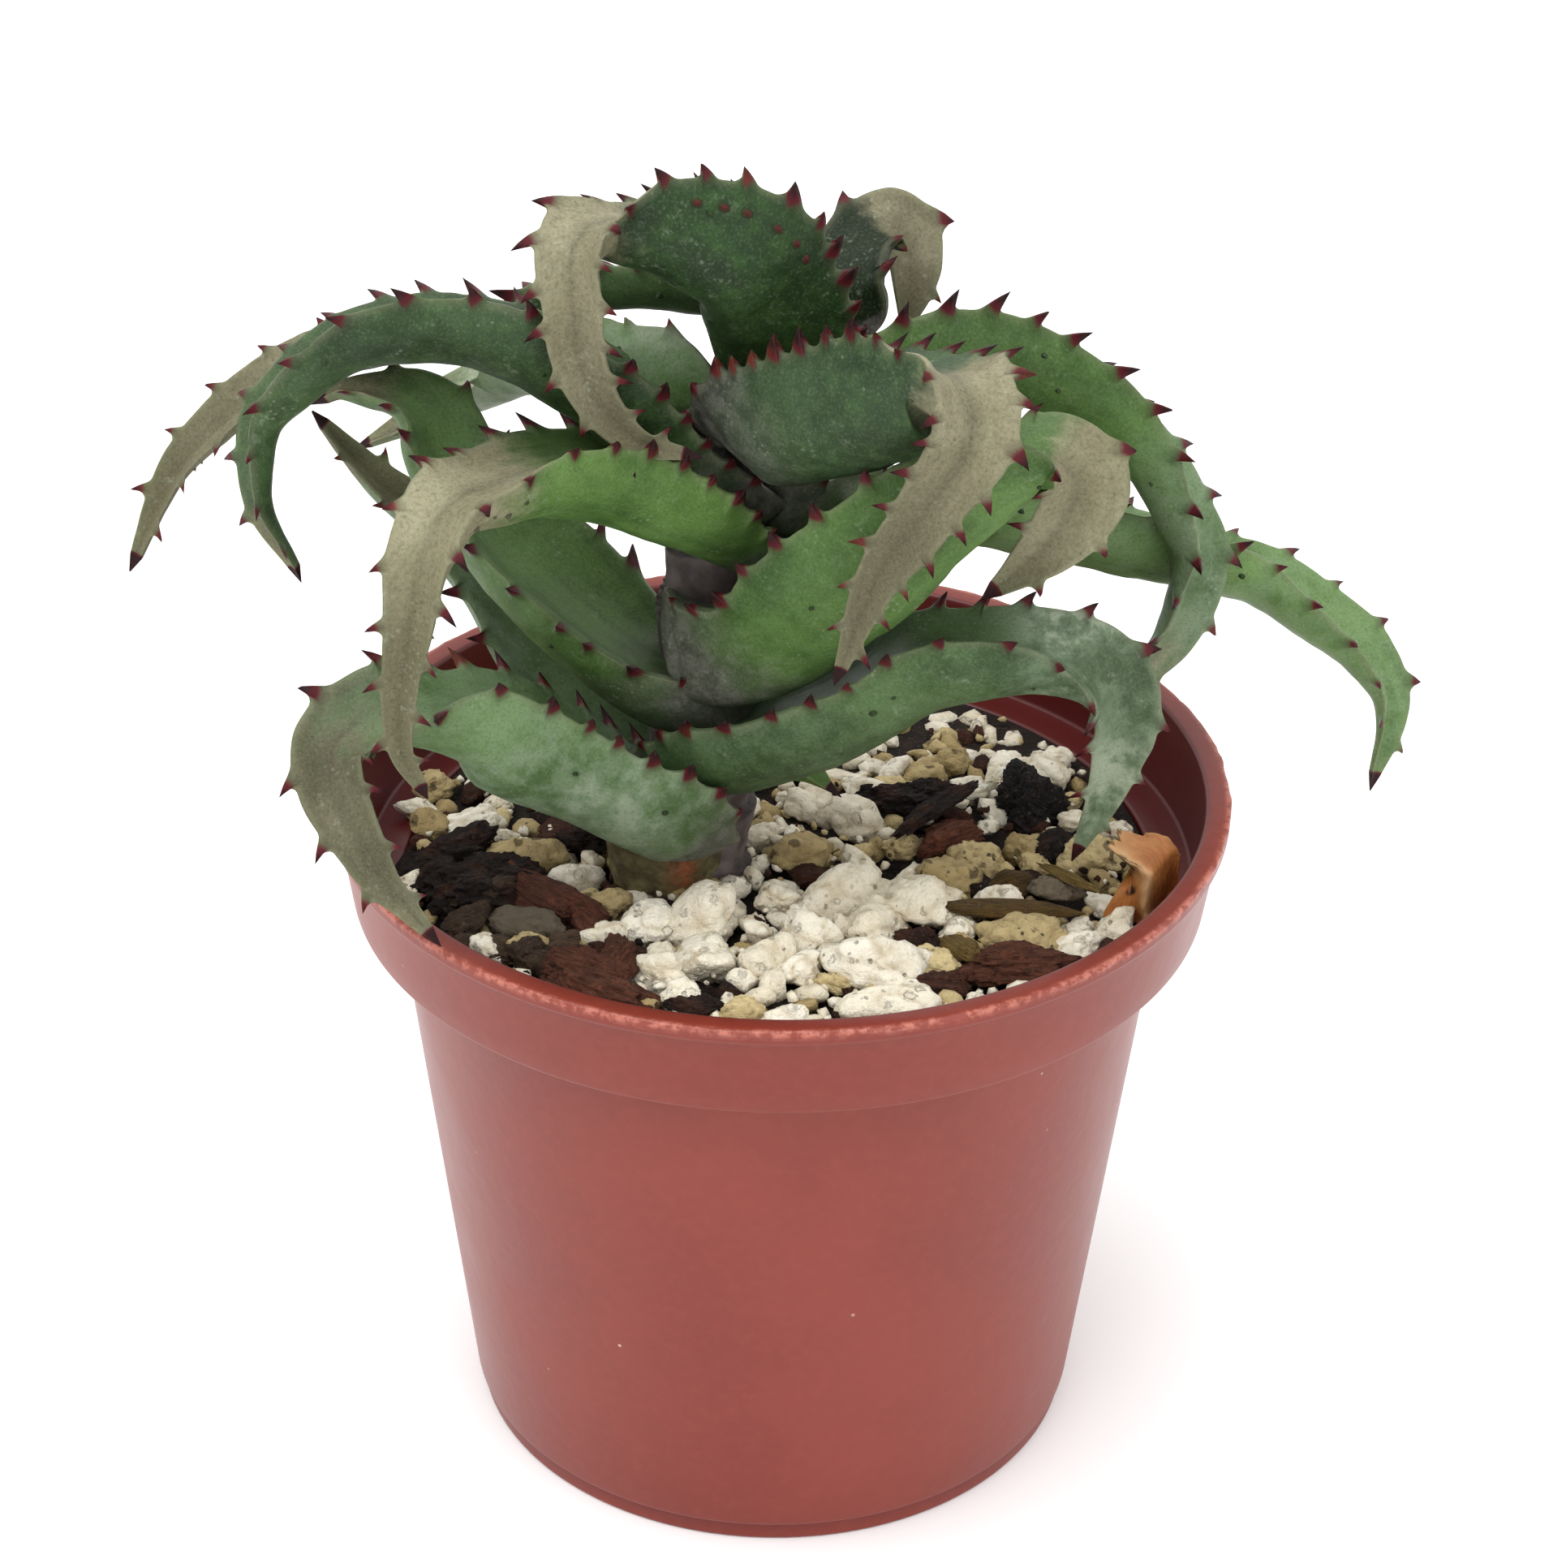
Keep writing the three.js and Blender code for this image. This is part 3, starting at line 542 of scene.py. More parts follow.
def pot_plastic():
    """Moulded red plastic: clouded colour, a few pale and dark specks, a paler rim edge that is rubbed and
    also painted highlight, and painted shade inside.
    """
    paint = Paint("pot_plastic")
    cloud = paint.noise(42, 4)
    grain = paint.noise(900)
    rubbed_and_lit = paint.step(paint.noise(950, 5, 0.7), 0.42, 0.6, 0.15, 0.85)
    pale_specks = paint.spots(0.07, 0.04, 300) * paint.patches(0.58, 0.62, 90, 1)
    dark_specks = paint.spots(0.035, 0.02, 130) * paint.patches(0.5, 0.55, 70, 1)
    colour = paint.coats(
        paint.mix(paint.step(cloud, 0.35, 0.7), "752a1f", "7e3125"),
        (paint.step(grain, 0.4, 0.75, 0, 0.25), "873b2e"),
        # paler rim edge: partly rubbed wear, partly painted highlight along its top
        (paint.layer("rim") * rubbed_and_lit, "b87060"),
        # painted shade: the inner wall darkened to maroon
        (paint.layer("inside") * 0.85, "4e1516"),
        (pale_specks * 0.7, "cfb3a5"),
        (dark_specks * 0.85, "381914"),
    )
    roughness = paint.step(cloud, 0.3, 0.75, 0.3, 0.42)
    normal = paint.bumps((paint.noise(260, 2), 0.00012, 0.35), (grain, 0.00004, 0.4))
    return paint.surface(colour, roughness, normal, IOR=1.5, Specular_IOR_Level=0.35)


def leaf_skin():
    """Waxy leaf: clouded green with painted shade by tone, chalky bloom and specks, khaki ends with painted
    shade down the crease and towards the tip, grey-purple foot, dark red teeth.
    """
    paint = Paint("leaf_skin")
    upper = paint.layer("upper")
    tone = paint.layer("tone")
    pale = paint.layer("pale")
    tooth = paint.layer("tooth")
    cloud = paint.noise(130, 4)
    mottle = paint.noise(520, 4, 0.65)
    fine = paint.noise(2300, 2)
    streak = paint.threads(paint.layer("along") * 0.05, paint.layer("across") * 0.8, upper * 7, 4)
    bloom = paint.layer("bloom") * paint.step(cloud + mottle * 0.5, 0.5, 0.9, 0.2, 1)
    # deep or bright green by tone, which also paints in how lit or shaded each leaf is
    green = paint.coats(
        paint.mix(
            paint.step(cloud + streak * 0.6, 0.45, 1.05),
            paint.mix(tone, "182814", "395821"), paint.mix(tone, "243b1e", "64873c"),
        ),
        (paint.step(mottle, 0.45, 0.72, 0, 0.2), "4e7233"),
        (upper * 0.15, "637556"),
        # painted shade: a negative tone darkens the leaf to near black
        (paint.step(tone, -0.05, -1, 0, 0.95), "131f0d"),
        (bloom, "7b8b75"),
        (paint.step(bloom, 0.55, 1, 0, 0.5), "adb39c"),
    )
    # painted shade: the khaki darker towards the hanging tip, lighter where the leaf folds over
    tipward = paint.layer("tipward") * paint.step(cloud + mottle * 0.3, 0.35, 0.75, 0.65, 1)
    khaki = paint.coats(
        paint.mix(
            paint.step(cloud + streak * 0.3, 0.4, 0.95),
            paint.mix(pale, "4e4a38", "787259"), paint.mix(pale, "6d6852", "99937a"),
        ),
        (paint.step(fine, 0.42, 0.7, 0, 0.3), "504c3a"),
        # painted shade in the crease down the middle of the upper face
        (paint.layer("midline") * paint.step(streak, 0.3, 0.6, 0.2, 0.6), "464131"),
        (tipward * 0.8, "554f3a"),
    )
    dry = paint.step(paint.layer("dry") + (mottle - 0.5) * 0.5 + (streak - 0.5) * 0.4, 0.25, 0.75)
    clasp = paint.step(paint.layer("clasp") + (mottle - 0.5) * 0.5, 0.05, 1)
    purple = paint.mix(paint.step(mottle, 0.4, 0.65), "433d3e", "615b5a")
    dust = paint.spots(0.32, 0.16, 1500) * paint.patches(0.52, 0.7, 210)
    scuff = paint.patches(0.56, 0.68, 800, 5, 0.75) * paint.patches(0.48, 0.62, 75, 2)
    grit = paint.noise(3800, 3, 0.7)
    dots = paint.spots(0.13, 0.07, 800) * paint.step(fine, 0.4, 0.55)
    crimson = paint.coats(
        paint.mix(paint.step(tooth, 0.5, 1), "4d141c", "210a0d"),
        (paint.step(cloud, 0.58, 0.72, 0, 0.5), "6f3525"),
    )
    colour = paint.coats(
        green,
        (dry * 0.94, khaki),
        (clasp * 0.8, purple),
        (dust * 0.22, "a6af9b"),
        (scuff * 0.24, "a1ab97"),
        (paint.step(grit, 0.5, 0.68, 0, 0.07), "b3bba2"),
        (paint.step(grit, 0.5, 0.34, 0, 0.25), "1d2216"),
        (dots * 0.4, "2f2d25"),
        (paint.layer("edge") * 0.35, "72725b"),
        (paint.step(tooth, 0.05, 0.3, 0, 0.35), "343627"),
        (paint.step(tooth, 0.25, 0.55), crimson),
    )
    return paint.surface(
        colour, paint.step(mottle + dry * 0.4, 0.3, 1, 0.44, 0.68),
        paint.bumps((streak, 0.0002, 0.4), (mottle, 0.00018, 0.35), (fine, 0.00005, 0.5)),
        Subsurface_Weight=0.06, Subsurface_Radius=(0.6, 1, 0.3), Subsurface_Scale=0.002,
        IOR=1.45, Specular_IOR_Level=0.2,
    )


def stem_skin():
    """Old clasping leaf bases: grey-purple and papery brown in bands, with dark seams."""
    paint = Paint("stem_skin")
    mottle = paint.noise(900)
    colour = paint.coats(
        paint.mix(paint.patches(0.35, 0.65, 240, 4), "443b3b", "6d6361"),
        (paint.layer("seam"), "191412"),
        (paint.step(mottle, 0.5, 0.75, 0, 0.5), "504936"),
    )
    return paint.surface(colour, 0.62, paint.bumps((mottle, 0.00025, 0.5)), IOR=1.45)


def stub_paint():
    """The torn foot of a lost leaf: olive-brown, with an orange streak down its front and a dark torn top."""
    paint = Paint("old_base")
    fine = paint.noise(1500, 4, 0.65)
    colour = paint.coats(
        paint.mix(paint.patches(0.35, 0.65, 380, 4), "423c24", "6c6442"),
        (paint.layer("streak") * paint.step(fine, 0.3, 0.5), "935533"),
        (paint.layer("seam"), "271f17"),
        (paint.step(fine, 0.5, 0.7, 0, 0.5), "332d1e"),
    )
    return paint.surface(colour, 0.75, paint.bumps((fine, 0.0005, 0.7)), IOR=1.4)


def stone_paint(name, low, high, dirt_and_shade, pits):
    """Porous stone: each stone has its own shade between low and high, with patches of dirt, dark pits, and
    creases darkened by dirt and painted shade.
    """
    paint = Paint(name)
    mottle = paint.noise(520, 5, 0.7)
    fine = paint.noise(2100, 4, 0.65)
    pore = paint.step(paint.cells(900) + (fine - 0.5) * 0.35, 0.24, 0.1) * paint.patches(0.5, 0.62, 330)
    cavity = paint.step(paint.cells(430) + (mottle - 0.5) * 1.1, 0.24, 0.12)
    specks = paint.step(fine, 0.62, 0.7) * paint.step(mottle, 0.5, 0.62)
    colour = paint.coats(
        paint.mix(paint.layer("shade"), low, high),
        (paint.step(mottle, 0.5, 0.75, 0, 0.45), dirt_and_shade),
        # creases darkened: dirt and painted shade
        (paint.layer("hollow") * paint.step(mottle, 0.3, 0.6, 0.3, 0.9), dirt_and_shade),
        (cavity * (max(pits - 0.6, 0.05) * 1.8), "4a3a28"),
        (pore * pits, "31271d"),
        (specks * (pits * 0.8), "3d3024"),
    )
    height = mottle + fine * 0.25 - pore * 0.6 - cavity * 0.4
    return paint.surface(colour, 0.9, paint.bumps((height, 0.001, 0.8)), IOR=1.4)


def bark_paint(name, dark, light, fibre=1.0):
    """Bark and compost: crumbly threads along each piece, dark in the furrows."""
    paint = Paint(name)
    coarse = paint.noise(380, 6, 0.75)
    threads = paint.threads(paint.layer("along") * 0.5, paint.layer("across") * 3.6, 0.0, 5, 0.7)
    fine = paint.noise(2400, 4, 0.7)
    colour = paint.coats(
        paint.mix(paint.layer("shade"), dark, light),
        (paint.step(threads, 0.4, 0.6, 0, 0.6), dark),
        (paint.layer("hollow") * 0.8, dark),
        (paint.step(coarse, 0.52, 0.66, 0, 0.5), light),
        (paint.patches(0.52, 0.64, 330, 5) * (0.4 * fibre), "5e3727"),
        (paint.step(fine, 0.58, 0.66, 0, 0.5), "6b5a4a"),
    )
    normal = paint.bumps((threads, 0.0009, fibre), (coarse + fine * 0.5, 0.0011, 0.9))
    return paint.surface(colour, 0.9, normal, IOR=1.4)


def dry_leaf_paint():
    """A thin dead leaf: orange-brown, with a painted shadow dark on the flap under its nodding top."""
    paint = Paint("dry_leaf")
    cloud = paint.noise(300, 4)
    vein = paint.threads(paint.layer("along") * 0.5, paint.layer("across") * 3, 0.0, 3)
    colour = paint.coats(
        paint.mix(paint.step(cloud, 0.35, 0.7), "925627", "ad723b"),
        (paint.step(vein, 0.45, 0.7, 0, 0.5), "764725"),
        (paint.layer("ridge") * paint.step(cloud, 0.3, 0.6, 0.4, 1), "ba9268"),
        # painted shadow: dark on the flap under the nodding top
        (paint.step(paint.layer("scorch") + (cloud - 0.5) * 0.6, 0.4, 0.7), "27160f"),
    )
    return paint.surface(
        colour, 0.55, paint.bumps((vein + cloud, 0.0003, 0.6)),
        Subsurface_Weight=0.3, Subsurface_Radius=(1, 0.5, 0.2), Subsurface_Scale=0.001, IOR=1.4,
    )


def fillet(profile, radius, steps=5):
    """An outline with every inner corner rounded by a short curve that starts and ends at radius from it."""
    most = 0.45  # of a straight stretch, so that the curves at its ends never meet
    corners = np.array(profile, float)
    rounded = [corners[:1]]
    t = np.linspace(0, 1, steps)[:, None]
    for before, corner, after in zip(corners[:-2], corners[1:-1], corners[2:]):
        start, end = (
            corner + unit(other - corner) * min(radius, np.linalg.norm(other - corner) * most)
            for other in (before, after)
        )
        rounded.append((1 - t) ** 2 * start + 2 * t * (1 - t) * corner + t**2 * end)
    rounded.append(corners[-1:])
    return np.vstack(rounded)


def refine(profile, longest):
    """An outline with extra points, so that no stretch of it is longer than longest."""
    pieces = []
    for start, end in zip(profile[:-1], profile[1:]):
        count = max(1, math.ceil(np.linalg.norm(end - start) / longest))
        share = np.arange(count)[:, None] / count
        pieces.append(start + share * (end - start))
    pieces.append(profile[-1:])
    return np.vstack(pieces)


def build_pot():
    """One turned wall with rounded corners and a slightly ragged moulding flash on the rim, then drilled."""
    shoulder = POT_HEIGHT - COLLAR_HEIGHT
    inner_shoulder = shoulder + WALL
    band_foot = POT_HEIGHT - RIM_BAND_HEIGHT
    flash_root = POT_HEIGHT - FLASH_HEIGHT
    rim = RIM_OUTER_RADIUS
    outline = [
        (HUB_RADIUS, 0), (FOOT_RADIUS, 0), (FOOT_RADIUS, FOOT_HEIGHT), (BODY_BOTTOM_RADIUS, FOOT_HEIGHT),
        (BODY_TOP_RADIUS, shoulder), (COLLAR_LOWER_RADIUS, shoulder), (rim - BAND_STEP, band_foot),
        (rim, band_foot + 0.1), (rim, flash_root), (rim - 0.25, POT_HEIGHT - 0.02),
        (rim - RIM_BAND_WIDTH, POT_HEIGHT - 0.1), (COLLAR_LOWER_RADIUS - WALL, inner_shoulder),
        (BODY_TOP_RADIUS - WALL, inner_shoulder), (BODY_BOTTOM_RADIUS - WALL, FLOOR_THICKNESS),
        (HUB_RADIUS, FLOOR_THICKNESS),
    ]
    profile = refine(fillet(outline, CORNER_RADIUS), LONGEST_STEP)
    angle, _ = circle(POT_SIDES)
    radius, height = profile[:, :1], profile[:, 1:]
    rings = np.stack([radius * np.cos(angle), radius * np.sin(angle), height + 0 * angle], -1)

    radius = np.hypot(rings[..., 0], rings[..., 1])
    flash = ramp(radius, rim - 0.5, rim) * ramp(rings[..., 2], flash_root - 0.5, flash_root + 0.1)
    wobble = (flash * sum_ripples(rings, FLASH_WAVES))[..., None] / radius[..., None]
    rings = rings * (1 + wobble * np.array([1, 1, 0]))
    rings[..., 2] += flash * (0.08 * ripples(rings, 1.7, 6) - 0.02)

    points, faces = capped(rings)
    radius = np.hypot(points[:, 0], points[:, 1])
    height = points[:, 2]
    # the outer top edge of the rim, paler as rubbed wear and as painted highlight
    rubbed_and_lit = ramp(radius, rim - 0.7, rim - 0.1) * ramp(height, POT_HEIGHT - 0.9, POT_HEIGHT - 0.3)
    wall_line = np.interp(
        height, [FLOOR_THICKNESS, shoulder, inner_shoulder, POT_HEIGHT],
        [BODY_BOTTOM_RADIUS, BODY_TOP_RADIUS, COLLAR_LOWER_RADIUS, rim - 1.4],
    )
    # the inner wall, where the pot's paint lays painted shade
    inside = ramp(wall_line - radius, 0.35, 0.8) * ramp(height, 1, 1.3)
    layers = {"rim": rubbed_and_lit, "inside": inside}
    drill_holes(finish_piece("pot_shell", points, faces, pot_plastic(), ["pot"], layers))


def drill_holes(pot):
    """The drainage holes: one cutter of upright rods on a circle, taken off the floor of the pot."""
    cutter = bpy.data.meshes.new("drill")
    shape = bmesh.new()
    radius = DRAIN_HOLE_RADIUS * MM
    for k in range(DRAIN_HOLES):
        angle = TURN * k / DRAIN_HOLES
        place = Vector((math.cos(angle), math.sin(angle), 0)) * DRAIN_CIRCLE_RADIUS * MM
        place.z = FLOOR_THICKNESS / 2 * MM
        bmesh.ops.create_cone(
            shape, cap_ends=True, segments=DRILL_SIDES, radius1=radius, radius2=radius,
            depth=3 * FLOOR_THICKNESS * MM, matrix=Matrix.Translation(place),
        )
    shape.to_mesh(cutter)
    shape.free()
    tool = placed("drill", cutter)
    cut = pot.modifiers.new("drainage", "BOOLEAN")
    cut.operation = "DIFFERENCE"
    cut.solver = "EXACT"
    cut.object = tool
    bake_modifiers(pot)
    bpy.data.objects.remove(tool)
    bpy.data.meshes.remove(cutter)


def bake_modifiers(piece):
    """The piece's mesh as its modifiers leave it, with no modifier left."""
    graph = bpy.context.evaluated_depsgraph_get()
    baked = bpy.data.meshes.new_from_object(piece.evaluated_get(graph))
    old = piece.data
    piece.modifiers.clear()
    piece.data = baked
    bpy.data.meshes.remove(old)


def leaf_frames(leaf, share):
    """Place, way along, way across and way up at shares of a leaf, all as arrays.

    The way up starts edge-on to the viewer and is turned about the leaf towards them."""
    place = leaf.path.at(share)
    along = unit(leaf.path.at(share + LOOK_AHEAD) - leaf.path.at(share - LOOK_AHEAD))
    shown = unit(VIEWER - (along @ VIEWER)[:, None] * along)
    turn = eased(leaf.turns, share)
    up = leaf.hand * np.cos(turn) * np.cross(shown, along) + np.sin(turn) * shown
    return place, along, np.cross(up, along), up


def leaf_sizes(leaf, share):
    """Half width, depth and hollow of a leaf at shares of its length."""
    s = np.clip(share, 0, 1)
    width, depth = eased(leaf.sizes, s).T
    half = width / 2
    hollow = np.minimum(half * (0.1 + 0.5 * s), depth - MIN_THICKNESS + 0.1)
    return half, depth, hollow


def leaf_section():
    """The unit outline of a leaf, bunched near both margins: x from -1 to 1 below, and back above."""
    v = np.linspace(0, 1, LOWER_POINTS)
    angle = math.pi * (1 + v - LOWER_BUNCHING * np.sin(TURN * v) / TURN)
    w = np.linspace(0, 1, UPPER_POINTS + 2)[1:-1]
    back = 1 - 2 * (w - UPPER_BUNCHING * np.sin(TURN * w) / TURN)
    x = np.concatenate([np.cos(angle), back])
    drop = np.concatenate([np.sin(angle), np.zeros(UPPER_POINTS)])
    upper = np.concatenate([np.zeros(LOWER_POINTS), np.ones(UPPER_POINTS)])
    return x, drop, upper


def leaf_shares(leaf):
    """Shares of the length for the rings of a leaf, from just behind its start to the end of its spine."""
    length = leaf.path.length
    count = math.floor(length / leaf.pitch)
    before = np.linspace(-BASE_REACH, 0, 8)[:-1] / length
    beyond = 1 + np.linspace(0, SPINE_LENGTH, 7)[1:] / length
    return np.concatenate([before, np.linspace(0, 1, count * RINGS_PER_TOOTH + 1), beyond])


def tooth_row(leaf, share, side, draw):
    """Height and forward lean of the margin along one side: a hooked thorn with hollow flanks a tooth."""
    length = leaf.path.length
    count = math.floor(length / leaf.pitch)
    height = np.zeros_like(share)
    lean = np.zeros_like(share)
    for k in range(1, count + 1):
        centre = ((k + 0.25 * side + 0.2) / count) ** TOOTH_CROWDING
        size = draw.uniform(0.75, 1.15) * (0.6 + 0.4 * ramp(centre, 0, 0.25))
        if centre * length < DOME_LENGTH or centre > LAST_TOOTH:
            continue
        tall = TOOTH_HEIGHT * (1 - 0.45 * centre) * size * leaf.thorns
        base = TOOTH_BASE * (1 - 0.35 * centre) * (0.45 + 0.55 * size) * leaf.thorns
        d = (share - centre) * length
        behind = np.clip(1 + d / (0.6 * base), 0, 1) ** 2.6
        ahead = np.clip(1 - d / (0.4 * base), 0, 1) ** 2.3
        thorn = np.where(d < 0, behind, ahead)
        height = np.maximum(height, tall * thorn)
        lean = np.maximum(lean, tall * thorn**2 * draw.uniform(0.45, 0.8))
    return height[:, None], lean[:, None]


def build_leaf(leaf, number, material):
    """A leaf as one skin: sections along the midrib, with the teeth drawn out of both margins."""
    draw = np.random.default_rng(LEAF_SEED + number)
    length = leaf.path.length
    share = leaf_shares(leaf)
    place, along, across, up = (v[:, None, :] for v in leaf_frames(leaf, share))
    x, drop, upper = leaf_section()
    s = share[:, None]

    # The rounded start and the thin spine at the end
    from_start = np.clip((s * length + BASE_REACH + 0.05) / DOME_LENGTH, 0, 1)
    dome = np.sqrt(1 - (1 - from_start) ** 2)
    spine = 1 - 0.9 * np.clip((s - 1) * length / SPINE_LENGTH, 0, 1)
    half, depth, hollow = (v[:, None] * dome * spine for v in leaf_sizes(leaf, share))

    # The channel above, which folds to a sharp crease towards the tip, between two cushioned margins
    fold = ramp(s, 0.35, 0.8)
    valley = (1 - fold) * (1 - x**2) + fold * (1 - np.sqrt(x**2 + 0.012)) * 1.05
    rise = np.where(upper > 0, -hollow * valley, depth * drop)
    cushion = 0.3 * ramp(np.abs(x), 0.6, 0.85) * ramp(-np.abs(x), -1, -0.9) * upper * dome
    rise = rise + cushion * np.clip(half / 4, 0, 1)

    # The teeth, drawn out of each margin
    out = half * x
    tooth = np.zeros_like(out)
    edge = np.zeros_like(out)
    lean = np.zeros_like(out)
    root = TOOTH_ROOT * np.clip(half / 4, 0.35, 1)
    tilt = TOOTH_TILT * (1 - np.abs(np.sin(eased(leaf.turns, share))))
    for side in (-1, 1):
        height, forward = tooth_row(leaf, share, side, draw)
        off_margin = np.hypot(half * (1 - side * x), np.where(upper > 0, 0, rise))
        hold = np.clip(1 - off_margin / root, 0, 1) ** 1.35
        out = out + side * height * hold * np.cos(tilt)
        lean = lean + forward * hold
        tooth = tooth + height * hold
        edge = np.maximum(edge, np.clip(1 - off_margin / 0.8, 0, 1))
    rise = rise + (0.12 + np.sin(tilt)) * tooth

    # A soft relief over the faces, with wrinkles where the leaf is dry
    points = place + across * out[..., None] + up * rise[..., None] + along * lean[..., None]
    below = unit(np.stack([x / half, np.minimum(drop, -0.02) / depth], -1))
    away = across * np.where(upper > 0, 0, below[..., 0])[..., None]
    away = away + up * np.where(upper > 0, 1, below[..., 1])[..., None]
    calm = np.clip(1 - tooth / 0.5, 0, 1) * np.clip(half / 3, 0.2, 1)
    dry = ramp(s + 0.08 * upper, *leaf.dry) * np.clip(0.75 + 0.25 * upper, 0, 1)
    wrinkle = np.sin(out * 3.1 + 2 * ripples(points, 9, number) + 1.3) * ripples(points, 6, 50 + number)
    relief = sum_ripples(points, ((0.2, 9, 10 + number), (0.07, 2.6, 30 + number))) + 0.1 * dry * wrinkle
    points = points + away * (relief * calm)[..., None]

    chalk = np.maximum(leaf.bloom, leaf.frost * ramp(s, 0.48, 0.64))
    layers = {
        "along": s * length + LEAF_STRIDE * number,
        "across": out,
        "upper": upper,
        # the tone per leaf, which holds painted shade and light as well as the green
        "tone": np.clip(leaf.tone + 0.15 * ripples(points, 22, 70 + number), -1, 1),
        "bloom": chalk * (0.55 + 0.45 * ramp(ripples(points, 16, 90 + number), -0.5, 0.6)),
        "dry": dry,
        "pale": leaf.pale,
        # painted shade on the khaki, from the end of the dry stretch to the tip
        "tipward": ramp(s, leaf.dry[1], leaf.dry[1] + 0.2),
        # the crease down the middle of the upper face, for painted shade
        "midline": upper * bell(x, 0, 0.2),
        "clasp": ramp(s + 0.03 * ripples(points, 7, number), 1.4 * leaf.clasp, 0),
        "edge": edge,
        "tooth": np.clip(tooth / 1.5, 0, 1) + ramp(s, 0.992, 1.0),
    }
    for key, value in layers.items():
        value = np.broadcast_to(value, out.shape)
        layers[key] = np.concatenate([value.ravel(), value[0, :1], value[-1, :1]])
    skin, faces = capped(points)
    pegs = face_prickles(leaf, points, away, share, dry, draw)
    skin, faces, layers = join_pegs(skin, faces, layers, pegs)
    stands_for = [leaf.name] if leaf in LEAVES else ()
    finish_piece("fine_" + leaf.name, skin, faces, material, stands_for, layers)


def face_prickles(leaf, points, away, share, dry, draw):
    """Small prickles in a loose row below each margin, and the dark spots: for each its root, the ways out
    and along there, its size, how dry the leaf is and how dark its stain is."""
    pegs = []

    def add_peg(s, column, size, stain):
        row = int(np.argmin(np.abs(share - s)))
        root = points[row, column]
        forward = unit(points[row + 2, column] - root)
        pegs.append((root, unit(away[row, column]), forward, size, dry[row, column], stain))

    steps = math.floor(leaf.path.length / PRICKLE_PITCH)
    for columns in PRICKLE_COLUMNS:
        for k in range(steps):
            s = 0.16 + 0.74 * (k + draw.uniform(-0.4, 0.4)) / steps
            wanted = draw.random()
            column = columns[draw.integers(len(columns))]
            size = draw.uniform(0.25, 0.45) * (1 - 0.5 * s)
            if wanted <= PRICKLE_CHANCE:
                add_peg(s, column, size, 1)
    for s in leaf.dots:
        add_peg(s, DOT_COLUMN, DOT_SIZE, DOT_STAIN)
    return pegs


def join_pegs(skin, faces, layers, pegs):
    """The skin with a hooked cone for each prickle, its root sunk under the skin."""
    if not pegs:
        return skin, faces, layers
    angle, _ = circle(PRICKLE_SIDES)
    red = np.array([row[3] for row in PRICKLE_RINGS])
    marks = np.concatenate([np.repeat(red, PRICKLE_SIDES), red[[0, -1]]])
    cones = []
    new_faces = []
    extra = {key: [] for key in layers}
    for number, (root, outward, forward, size, dry, stain) in enumerate(pegs):
        sideways = np.cross(outward, forward)
        rings = [
            root + size * (
                outward * lift + forward * (shift + spread * 1.3 * np.cos(a)) + sideways * spread * np.sin(a)
            )
            for lift, spread, shift, _ in PRICKLE_RINGS for a in angle
        ]
        points, groups = capped(np.array(rings).reshape(-1, PRICKLE_SIDES, 3))
        new_faces.append([group + len(skin) + number * len(points) for group in groups])
        cones.append(points)
        for key in layers:
            value = {"tooth": stain * marks, "dry": dry}.get(key, 0)
            extra[key].append(np.broadcast_to(value, len(points)))
    quads = np.vstack([faces[0]] + [group[0] for group in new_faces])
    fans = np.vstack(faces[1:] + [fan for group in new_faces for fan in group[1:]])
    merged = {key: np.concatenate([values] + extra[key]) for key, values in layers.items()}
    return np.vstack([skin] + cones), [quads, fans], merged


def build_stem():
    """The stem: rings along its path that step out where one old leaf base clasps over the next."""
    share = np.linspace(0, 1, STEM_RINGS)[:, None]
    place = Path(STEM_PATH).at(share[:, 0])[:, None, :]
    angle, ring = circle(STEM_SIDES)
    level = place[..., 2]
    height = level + 2.2 * np.cos(angle + 0.7 * np.floor(level / BASE_PITCH))
    cycle = (height / BASE_PITCH) % 1
    radius = STEM_RADIUS - STEM_TAPER * share + 0.9 * cycle**1.5 + 0.3
    radius = radius * np.sqrt(1 - np.clip((share - 0.96) / 0.045, 0, 0.99) ** 2)
    points = place + ring * radius[..., None]
    points = points + ring * sum_ripples(points, STEM_WAVES)[..., None]
    seam = ramp(np.abs(cycle - 0.5), 0.4, 0.5)
    skin, faces = capped(points)
    layers = {"seam": np.append(seam, [1, 0])}
    finish_piece("stem_bark", skin, faces, stem_skin(), ["stem"], layers)


